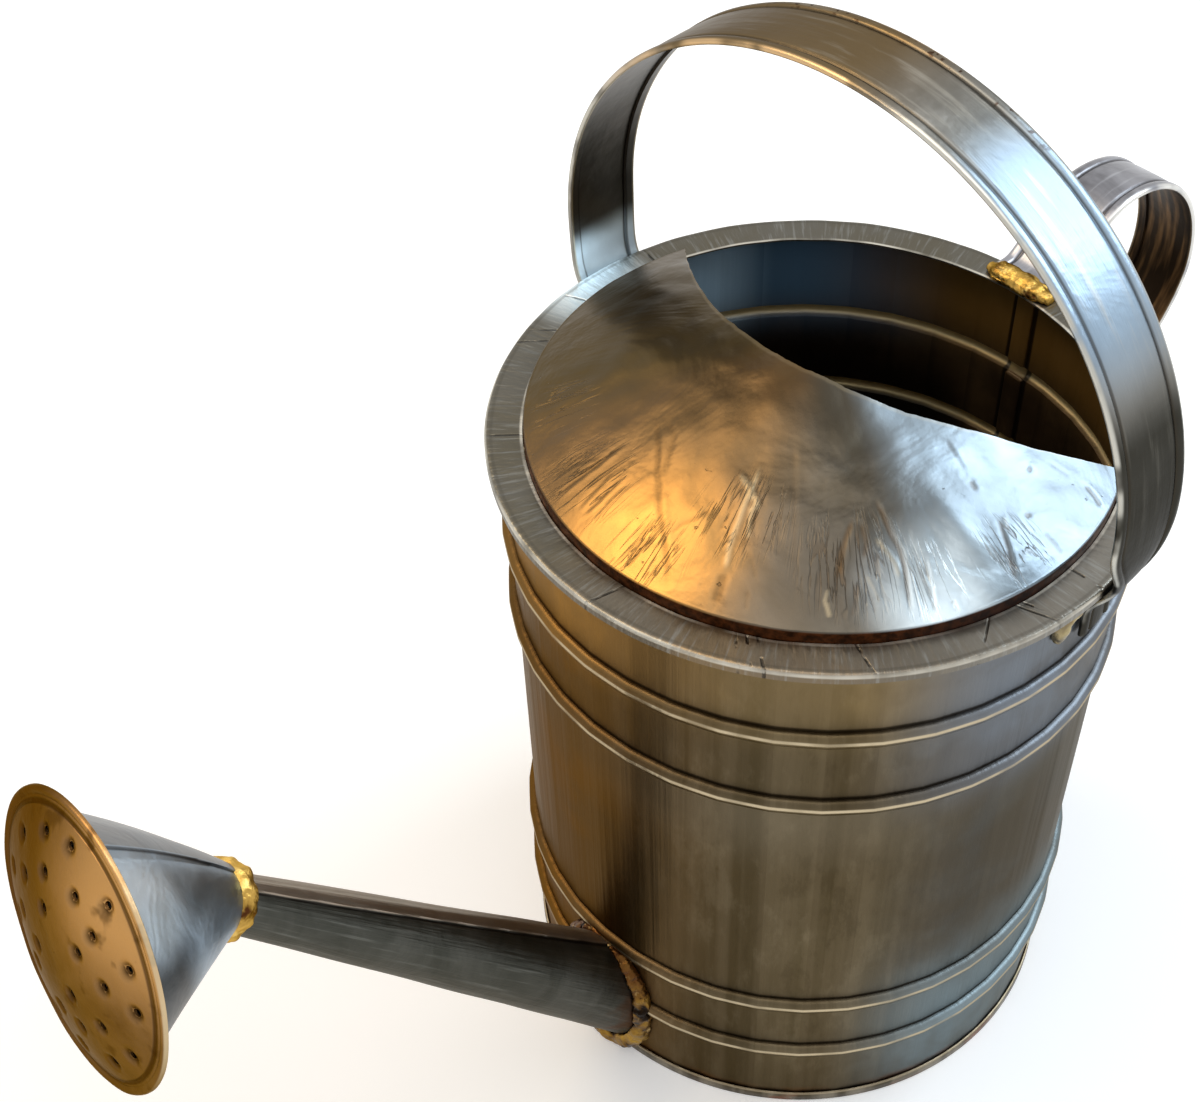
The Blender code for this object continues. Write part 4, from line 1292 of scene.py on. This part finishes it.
def hoop_inside(here):
    """Inner face: dark, brown at the top, with a painted pale blue reflection where it meets the
    collar on the left.
    """
    across = here.x - (HOOP_X - HOOP_WIDTH / 2)
    edge = across.least(hoop_near(here) - across)
    line = abs(edge - FOLD_LINE).rise(0.0010, 0.0003)
    cloud = here.noise(28.0, 4.0, 0.6)
    colour = cloud.rise(0.3, 0.7).tones("#2e281f", "#443d34")
    steel = here.z.rise(0.335, 0.295) * here.y.rise(0.0, -0.08)
    colour = coats(colour, (steel * 0.10, "#5c6165"))
    # painted pale blue reflection low on the left leg's inner face
    low = here.z.rise(0.292, 0.278) * here.y.rise(0.0, -0.08)
    colour = coats(
        colour, (low * 0.95, "#d6e4ec"),
        (line * 0.7, "#231e18"),
        (edge.rise(0.0016, 0.0005), "#b8ab92"))
    return {"Base Color": colour, "Roughness": 0.34, "Metallic": 1.0 - low * 0.6,
            "Normal": here.bump(here.noise(50.0, 4.0), 0.0005)}


HOOP_OUTSIDE = new_finish("worn_hoop", hoop_outside)
HOOP_INSIDE = new_finish("hoop_inner_face", hoop_inside)

# %% Hoop handle
rows, inner = hoop_rows()
hoop = new_piece("hoop_strap", rows_mesh("hoop_strap", rows, inner=inner, caps=True),
                 [HOOP_OUTSIDE, HOOP_INSIDE])
stand_in(hoop, "burnished_sheet", "hoop_handle")

# %% Rear handle's path
REAR_WIDTH = 0.027
REAR_CREST = 0.0233
REAR_CREST_X = 0.0358
REAR_REACH = 0.0886
REAR_BACK_DROP = 0.0310
REAR_FOOT_HEIGHT = 0.128
REAR_FOOT = 0.0140
REAR_TAB = 0.0070
REAR_SET_IN = 0.0015
REAR_EASE = (0.007, 0.018, 0.045, 0.030)
REAR_ROUND = (0.56, 0.54)
REAR_DISH = 0.090


def rear_path():
    edge = -COLLAR_RADIUS
    tab_end = Vector((edge + REAR_SET_IN, CAN_HEIGHT + GAP + FOLD))
    crest = Vector((edge - REAR_CREST_X, CAN_HEIGHT + REAR_CREST))
    back = Vector((edge - REAR_REACH, CAN_HEIGHT - REAR_BACK_DROP))
    foot = Vector((-(wall_radius(REAR_FOOT_HEIGHT) + GAP + FOLD), REAR_FOOT_HEIGHT))
    at_tab, at_crest, at_back, at_foot = REAR_EASE
    out = Vector(((crest.x - back.x) * REAR_ROUND[0], 0))
    drop = Vector((0, (crest.y - back.y) * REAR_ROUND[1]))
    up = bezier(tab_end, tab_end - Vector((at_tab, 0)), crest + Vector((at_crest, 0)), crest, 22)
    over = bezier(crest, crest - out, back + drop, back, 30)
    down = bezier(back, back - Vector((0, at_back)), foot + Vector((0, at_foot)), foot, 40)
    end = foot - Vector((0, REAR_FOOT))
    end.x = -(wall_radius(end.y) + GAP + FOLD)
    start = tab_end + Vector((REAR_TAB, 0))
    return [start, (start + tab_end) / 2] + up + over[1:] + down[1:] + [(foot + end) / 2, end]


print("rear handle:", len(rear_path()), "stations along its path")

# %% Rear handle's strap
REAR_WAVE = 0.00015


def rear_rows():
    path = rear_path()
    section, inner = strap_section(REAR_WIDTH)
    rows = []
    for point, way in zip(path, ways_out(path)):
        to_foot = smooth((CAN_HEIGHT - REAR_BACK_DROP - point.y) / REAR_DISH)
        row = []
        for across, out in section:
            y = across - REAR_WIDTH / 2
            wave = REAR_WAVE * wobble(across * 60, point.x * 30, point.y * 30)
            dish = to_foot * (abs(point.x) - math.sqrt(point.x ** 2 - y ** 2))
            row.append((point.x + way.x * (out + wave) + dish, y, point.y + way.y * (out + wave)))
        rows.append(row)
    return rows, inner


# %% Rear handle's finishes
def rear_outside(here):
    edge = REAR_WIDTH / 2 - abs(here.y)
    line = abs(edge - FOLD_LINE).rise(0.0010, 0.0003)
    along = here.noise(1.0, 4.0, 0.6, at=here.vector(here.x * 20.0, here.y * 260.0, here.z * 20.0))
    cloud = here.noise(32.0, 4.0, 0.6, 0.4)
    colour = cloud.rise(0.32, 0.68).tones("#646366", "#9a9a9f")
    colour = coats(
        colour, (along.rise(0.50, 0.74) * 0.45, "#c9cbd0"),
        (line * 0.75, "#2a2524"))
    rubbed = edge.rise(0.0018, 0.0005) * here.noise(50.0, 2.0).rise(0.3, 0.5)
    colour = coats(colour, (rubbed, "#cfcdc8"))
    return {"Base Color": colour, "Roughness": cloud * 0.16 + 0.26,
            "Normal": here.bump(along * 0.5 + cloud, 0.0006)}


def rear_inside(here):
    edge = REAR_WIDTH / 2 - abs(here.y)
    warm = here.noise(1.0, 3.0, at=here.vector(here.x * 30.0, here.y * 260.0, here.z * 30.0))
    colour = warm.rise(0.45, 0.70).tones("#2b221a", "#6b5238")
    colour = coats(colour, (edge.rise(0.0016, 0.0005), "#8e7c62"))
    return {"Base Color": colour, "Roughness": 0.38,
            "Normal": here.bump(here.noise(50.0, 4.0), 0.0005)}


REAR_OUTSIDE = new_finish("rear_strap_outside", rear_outside)
REAR_INSIDE = new_finish("rear_strap_inside", rear_inside)

# %% Rear handle
rows, inner = rear_rows()
rear = new_piece("rear_strap", rows_mesh("rear_strap", rows, inner=inner, caps=True),
                 [REAR_OUTSIDE, REAR_INSIDE])
stand_in(rear, "dark_sheet", "rear_handle")

# %% [markdown]
# ## Spout
#
# The spout is one sheet rolled into a taper, lapped along its upper side. Its lower end follows
# the wall, so each line of the taper starts where it meets the wall.

# %% Spout's rows
LAP_STEP = 0.0007
LAP_TURN = math.radians(78)
LAP_DRIFT = math.radians(100)
LAP_WIDTH = math.radians(34)
ROUNDS_TO_SETTLE = 20
SPOUT_WAVE = 0.00022


def lap(a, seam):
    """Height of the lapped strip at an angle round a tube, from 0 to 1, past its seam."""
    off = (a - seam) / LAP_WIDTH
    if off < 0 or off > 1:
        return 0.0
    return smooth(off / 0.06) * (1 - smooth((off - 0.5) / 0.5))


def lap_masks(past_seam):
    """Colour masks of the lapped strip beside a seam and of the dark line at the seam."""
    strip = past_seam.rise(0.0, 0.04) * past_seam.rise(1.3, 0.9)
    return strip, abs(past_seam + 0.02).rise(0.050, 0.015)


def meets_wall(spoke, out):
    """Distance along the axis at which a line of the taper meets the wall."""
    s = 0.0
    for _ in range(ROUNDS_TO_SETTLE):
        p = ROOT + AXIS * s + spoke * (SPOUT_ROOT_RADIUS + TAPER * s)
        s -= (math.hypot(p.x, p.y) - wall_radius(p.z) - out) / AXIS.x
    return s


def spout_rows(steps=144, along=60):
    last = SPOUT_LENGTH + SPOUT_ENTRY
    outer = []
    inner = []
    for k in range(along + 1):
        share = k / along
        out_row = []
        in_row = []
        for i in range(steps):
            a = math.tau * i / steps
            spoke = spout_spoke(a)
            first = meets_wall(spoke, GAP)
            s = first + (last - first) * share
            radius = SPOUT_ROOT_RADIUS + TAPER * s
            wave = SPOUT_WAVE * wobble(math.cos(a) * 1.4, math.sin(a) * 1.4, s * 26)
            out_row.append(ROOT + AXIS * s + spoke * (
                radius + LAP_STEP * lap(a, LAP_TURN - LAP_DRIFT * s) + wave))
            in_row.append(ROOT + AXIS * s + spoke * (radius - SHEET + wave))
        outer.append(out_row)
        inner.append(in_row)
    return outer + inner[::-1]


# %% Spout's finish and tube
def spout_outside(here):
    along, up = here.along(ROOT, AXIS, SPOUT_UP)
    angle = here.point.maths("ARCTAN2", up, here.y)
    past_seam = angle - LAP_TURN + along * LAP_DRIFT
    streak = here.noise(1.0, 4.0, 0.6, at=here.vector(angle * 7.0, along * 16.0, 0.0))
    cloud = here.noise(34.0, 4.0, 0.6, 0.5)
    colour = cloud.rise(0.30, 0.70).tones("#3e3f3a", "#555550")
    colour = coats(colour, (streak.rise(0.52, 0.75) * 0.5, "#7e7f7a"))
    strip, seam = lap_masks(past_seam)
    lip = abs(past_seam - 0.05).rise(0.035, 0.010)
    rusty = along.rise(0.030, 0.0) * here.noise(60.0, 4.0).rise(0.4, 0.62)
    colour = coats(
        colour, (strip * 0.8, "#9a8d80"),
        (seam * 0.85, "#1f1b19"),
        (lip * 0.35, "#a8998a"),
        (rusty * 0.8, "#54351e"))
    return {"Base Color": colour, "Roughness": cloud * 0.2 + 0.32,
            "Specular Tint": (0.66, 0.64, 0.60),
            "Normal": here.bump(streak * 0.6 + cloud, 0.0006)}


SPOUT_FINISH = new_finish("dark_spout", spout_outside)
spout = new_piece("spout", rows_mesh("spout", spout_rows(), closed=True), [SPOUT_FINISH])
stand_in(spout, "dark_sheet", "spout_tube")

# %% [markdown]
# ## Rose
#
# The rose is a slanted cone that opens from the spout's end to a round brass face. The cone is
# lapped like the spout. The face is a shallow dome with its rim turned back over the cone.

# %% Rose's line
NECK_TILT = math.radians(40)
NECK_RADIUS = 0.0108
ROSE_LENGTH = 0.0490
ROSE_RISE = math.radians(27.8)
FACE_TILT = math.radians(13.6)
FACE_TURN = math.radians(-4.6)
FACE_RADIUS = 0.0460
DOME_RADIUS = 0.0425
DOME_HEIGHT = 0.0080
CONE_MOUTH_RADIUS = 0.0403
FACE_SHEET = 0.0008
FACE_LIP = 0.0016
NECK = ROOT + AXIS * SPOUT_LENGTH
NECK_WAY = Vector((math.cos(NECK_TILT), 0, math.sin(NECK_TILT)))
FACE = NECK + Vector((math.cos(ROSE_RISE), 0, math.sin(ROSE_RISE))) * ROSE_LENGTH
FACE_WAY = Vector((math.cos(FACE_TILT) * math.cos(FACE_TURN),
                   math.cos(FACE_TILT) * math.sin(FACE_TURN), math.sin(FACE_TILT)))
print("rose face at", [round(v * 1000, 1) for v in FACE], "mm")

# %% Rose's cone
CONE_SEAM = math.radians(80)
CONE_WAVE = 0.00025


def rose_rows(steps=180, along=30):
    mouth = FACE - FACE_WAY * (GAP + SHEET * 0.6)
    outer = []
    inner = []
    for k in range(along + 1):
        share = k / along
        way = NECK_WAY.lerp(FACE_WAY, share).normalized()
        side = Vector((0, 0, 1)).cross(way).normalized()
        up = way.cross(side)
        radius = NECK_RADIUS + (CONE_MOUTH_RADIUS - NECK_RADIUS) * share
        centre = NECK.lerp(mouth, share)
        out_row = []
        in_row = []
        for i in range(steps):
            a = math.tau * i / steps
            spoke = side * math.cos(a) + up * math.sin(a)
            wave = CONE_WAVE * wobble(math.cos(a) * 1.6, math.sin(a) * 1.6, share * 3.0)
            out_row.append(centre + spoke * (
                radius + LAP_STEP * lap(a, CONE_SEAM) + wave * share))
            in_row.append(centre + spoke * (radius - SHEET + wave * share))
        outer.append(out_row)
        inner.append(in_row)
    return outer + inner[::-1]


# %% Cone's finish
def cone_colour(here):
    up, = here.along(NECK, NECK_WAY.cross(ASIDE))
    angle = here.point.maths("ARCTAN2", up, here.y)
    cloud = here.noise(34.0, 4.0, 0.6, 0.6)
    colour = cloud.rise(0.30, 0.70).tones("#818f9c", "#a9b9c8")
    # painted shade on the cone's lower part
    low = angle.rise(0.75, 0.40) * here.x.rise(0.276, 0.290)
    colour = coats(colour, (low * 0.88, "#35332f"))
    # painted highlight on the cone
    lit = here.spot((0.290, 0.020, 0.291), 0.022, 0.8)
    colour = coats(colour, (lit * 0.95, "#e2f2ff"))
    strip, seam = lap_masks(angle - CONE_SEAM)
    colour = coats(
        colour, (strip * 0.8, "#6a645d"),
        (seam * 0.85, "#1d1c1c"))
    fine = here.noise(140.0, 4.0)
    return {"Base Color": colour, "Roughness": cloud * 0.2 + 0.28,
            "Normal": here.bump(cloud + fine * 0.2, 0.0008)}


CONE_FINISH = new_finish("blue_grey_cone", cone_colour)
cone = new_piece("rose_cone_sheet", rows_mesh("rose_cone_sheet", rose_rows(), closed=True),
                 [CONE_FINISH])
stand_in(cone, "dark_sheet", "rose_cone")

# %% [markdown]
# Small holes are punched through the face in three rough rings of four, ten and thirteen. A
# Geometry Nodes tree stands a punch on each place and a Boolean takes them all away. The punch
# also leaves a shallow dimple round each hole, pressed into the mesh and kept as a number on its
# points, so that the finish can darken it.

# %% Face's finish
def face_colour(here):
    reach = here.far_from(tuple(FACE))
    cloud = here.noise(36.0, 4.0, 0.6, 0.6)
    fine = here.noise(150.0, 4.0, 0.6)
    colour = cloud.rise(0.30, 0.70).tones("#5c4226", "#785a37")
    warm = here.z.rise(FACE.z - 0.004, FACE.z + 0.030) * here.y.rise(-0.030, 0.020)
    colour = coats(colour, (warm * 0.85, "#c0925a"))
    dark = here.y.rise(0.012, -0.036) * 0.8
    colour = coats(colour, (dark, "#54381e"))
    spots = here.noise(90.0, 3.0).rise(0.58, 0.68) * 0.6
    colour = coats(colour, (spots, "#4a321b"))
    crease = abs(reach - 0.0418).rise(0.0011, 0.0003)
    colour = coats(colour, (crease * 0.75, "#33200f"))
    # painted highlight along the upper part of the face's rim
    rim = reach.rise(FACE_RADIUS - 0.0006, FACE_RADIUS - 0.0001) * here.y.rise(0.0, 0.03)
    rim = rim * here.z.rise(FACE.z - 0.030, FACE.z + 0.005)
    colour = coats(colour, (rim * 0.5 * here.noise(60.0, 2.0).rise(0.25, 0.45), "#e2d2ae"))
    dimple = here.mark("dimple")
    colour = coats(colour, (dimple * 0.9, "#2c1b0c"))
    return {"Base Color": colour, "Roughness": cloud * 0.2 + 0.30 - rim * 0.08,
            "Specular Tint": (0.58, 0.48, 0.34),
            "Normal": here.bump(cloud * 0.6 + fine * 0.3 - crease * 0.6, 0.0008)}


FACE_FINISH = new_finish("brass_rose_face", face_colour)

# %% Places of the holes
HOLE_RADIUS = 0.0013
DIMPLE_REACH = 0.0024
DIMPLE_DEPTH = 0.0009
FACE_WAVE = 0.00022
HOLE_RINGS = ((4, 0.0133, 40.0), (10, 0.0240, 12.0), (13, 0.0350, 8.0))


def hole_places():
    rng = random.Random(27)
    found = []
    for count, radius, start in HOLE_RINGS:
        for i in range(count):
            a = math.tau * i / count + math.radians(start + rng.uniform(-5, 5))
            r = radius + rng.uniform(-0.0012, 0.0012)
            found.append((r * math.cos(a), r * math.sin(a)))
    return found


places = hole_places()
print("holes:", len(places))


# %% Rows of the face
FACE_START = 0.0002
FACE_STEPS = 240


def dome_height(r):
    return DOME_HEIGHT * max(0.0, 1 - (r / DOME_RADIUS) ** 2)


def face_rows():
    """The face from its middle out, round the rim and back, before the holes are punched."""
    rows = [(r, dome_height(r)) for r in (FACE_START + DOME_RADIUS * i / 72 for i in range(73))]
    rows += [(0.0430, -0.0002), (0.0434, -0.0003), (0.0440, 0.0000), (0.0448, 0.0002),
             (0.0454, 0.0001), (0.0458, -0.0002), (FACE_RADIUS, -0.0007),
             (FACE_RADIUS, -FACE_LIP + 0.0002), (FACE_RADIUS - 0.0003, -FACE_LIP),
             (0.0452, -FACE_LIP), (0.0452, -FACE_SHEET)]
    rows += [(r, dome_height(r) - FACE_SHEET) for r in (0.0425, 0.034, 0.024, 0.012, FACE_START)]
    return turned_rows(rows, FACE_STEPS)


# %% Punch
PUNCH_SIZES = {"Hole radius": HOLE_RADIUS, "Punch depth": 0.02, "Finish": FACE_FINISH}


def punch_tree(sizes):
    """Cylinders stood on every point of the piece, turned into one punch."""
    tree, wires = tree_of("row_of_punches", sizes)
    punch = Wire(tree).node("GeometryNodeMeshCylinder", values={
        "Vertices": 20, "Radius": wires["Hole radius"], "Depth": wires["Punch depth"]})
    stood = punch.node("GeometryNodeInstanceOnPoints", values={
        "Points": wires["Geometry"], "Instance": punch})
    finish_tree(tree, stood, wires["Finish"])
    return tree


def points_mesh(name, places):
    mesh = bpy.data.meshes.new(name)
    mesh.from_pydata(places, [], [])
    return mesh


# %% Rose's face
face_mesh = rows_mesh("rose_face_disc", face_rows(), closed=True)
dimples = []
for vertex in face_mesh.vertices:
    near = min(math.hypot(vertex.co.x - x, vertex.co.y - y) for x, y in places)
    dimple = 1 - smooth((near - HOLE_RADIUS) / DIMPLE_REACH)
    vertex.co.z -= DIMPLE_DEPTH * dimple
    vertex.co.z += FACE_WAVE * wobble(vertex.co.x * 60, vertex.co.y * 60, 4.0)
    dimples.append(dimple ** 2)
face_mesh.attributes.new("dimple", "FLOAT", "POINT").data.foreach_set("value", dimples)
disc = new_piece("rose_face_disc", face_mesh, [FACE_FINISH])
punches = new_piece("punches", points_mesh("punches", [(x, y, 0.004) for x, y in places]), [])
add_tree(punches, punch_tree(PUNCH_SIZES), PUNCH_SIZES)
settled(punches)
cut(disc, punches.data)
bpy.data.objects.remove(punches)
facing = FACE_WAY.to_track_quat("Z", "Y").to_matrix().to_4x4()
disc.data.transform(Matrix.Translation(FACE) @ facing)
stand_in(disc, "aged_brass", "rose_face")

# %% [markdown]
# ## Brazed joints and solder
#
# The joints are lumps of brass and solder that froze as they ran. Each one starts from its solid
# and is remeshed finely, so that noise can raise the small beads and ridges on it.

# %% Finishes of the joints
def braze_colour(here):
    lump = here.noise(70.0, 4.0, 0.6, 0.5)
    fine = here.noise(260.0, 3.0)
    colour = lump.rise(0.35, 0.65).tones("#8a6a2c", "#c9a254")
    colour = coats(
        colour, (fine.rise(0.55, 0.70) * 0.6, "#e8c878"),
        (lump.rise(0.48, 0.36), "#4c2c17"))
    return {"Base Color": colour, "Roughness": fine * 0.3 + 0.22,
            "Specular Tint": (0.70, 0.60, 0.42),
            "Normal": here.bump(fine + lump, 0.0009)}


def root_colour(here):
    """The spout's joint: red-brown above, brass below and a stain towards the foot."""
    lump = here.noise(70.0, 4.0, 0.6, 0.5)
    fine = here.noise(240.0, 3.0)
    colour = lump.rise(0.35, 0.62).tones("#62441f", "#a8843a")
    high = here.z.rise(0.040, 0.060)
    colour = coats(colour, (high * 0.8, "#4a2716"))
    pit = lump.rise(0.44, 0.36)
    colour = coats(
        colour, (pit, "#1c130c"),
        (fine.rise(0.60, 0.70) * 0.5, "#dcc088"))
    return {"Base Color": colour, "Roughness": fine * 0.4 + 0.24,
            "Normal": here.bump(fine + lump, 0.0010)}


def solder_colour(here):
    lump = here.noise(80.0, 4.0, 0.6, 0.4)
    colour = lump.rise(0.34, 0.64).tones("#6a5e4a", "#a2946f")
    rust = here.noise(60.0, 3.0).rise(0.50, 0.60)
    colour = coats(colour, (rust * 0.8, "#6b3f22"))
    return {"Base Color": colour, "Roughness": 0.36,
            "Normal": here.bump(here.noise(220.0, 3.0) + lump, 0.0007)}


BRAZE = new_finish("lumpy_brass_braze", braze_colour)
ROOT_BRAZE = new_finish("stained_root_braze", root_colour)
SOLDER = new_finish("soft_solder", solder_colour)


# %% Joints from their solids
FINEST_BEAD = 0.0006
JUST_OFF_FLOOR = 0.0002
SAME_PLACE = 0.00002


def lumpy(node, name, finish, slot, lift, run, spread):
    """A solid's shape with run and frozen metal on it: fine beads and broader runs.

    It spreads from its own middle by a share of its size along each of the ways in spread.
    """
    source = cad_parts[node]
    mesh = source.data.copy()
    mesh.materials.clear()
    mesh.transform(source.matrix_world)
    piece = new_piece(name, mesh, [finish])
    bm = bmesh.new()
    bm.from_mesh(mesh)
    bmesh.ops.remove_doubles(bm, verts=bm.verts, dist=SAME_PLACE)
    for face in bm.faces:
        face.material_index = 0
    bm.to_mesh(mesh)
    bm.free()
    grid = piece.modifiers.new("grid", "REMESH")
    grid.mode = "VOXEL"
    grid.voxel_size = FINEST_BEAD
    settled(piece)
    middle = sum((v.co for v in piece.data.vertices), Vector()) / len(piece.data.vertices)
    for vertex in piece.data.vertices:
        for way, share in spread:
            vertex.co += way * (vertex.co - middle).dot(way) * share
        x, y, z = vertex.co
        push = lift * (wobble(x, y, z, scale=210) + 0.6 * wobble(x, y, z, scale=420))
        push += run * max(0.0, wobble(x, y, z, scale=95) + 0.15)
        vertex.co += vertex.normal * push
    soft = piece.modifiers.new("soft", "SMOOTH")
    soft.factor = 0.5
    soft.iterations = 2
    settled(piece)
    for vertex in piece.data.vertices:
        vertex.co.z = max(vertex.co.z, JUST_OFF_FLOOR)
    piece.data.materials.clear()
    piece.data.materials.append(finish)
    stand_in(piece, slot, node)
    return piece


for node, finish, slot, lift, run, spread in (
        ("spout_root_braze", ROOT_BRAZE, "braze", 0.0009, 0.0020, ()),
        ("rose_neck_braze", BRAZE, "braze", 0.0007, 0.0008,
         ((NECK_WAY, 0.25), (ASIDE, -0.07), (NECK_WAY.cross(ASIDE), -0.07))),
        ("rear_handle_top_braze", BRAZE, "braze", 0.0007, 0.0014,
         ((Vector((1, 0, 0)), 0.45), (Vector((0, 1, 0)), -0.14))),
        ("rear_handle_foot_braze", BRAZE, "braze", 0.0006, 0.0010, ()),
        ("hoop_solder_left", SOLDER, "solder", 0.0005, 0.0006, ()),
        ("hoop_solder_right", SOLDER, "solder", 0.0006, 0.0012, ())):
    lumpy(node, node + "_metal", finish, slot, lift, run, spread)
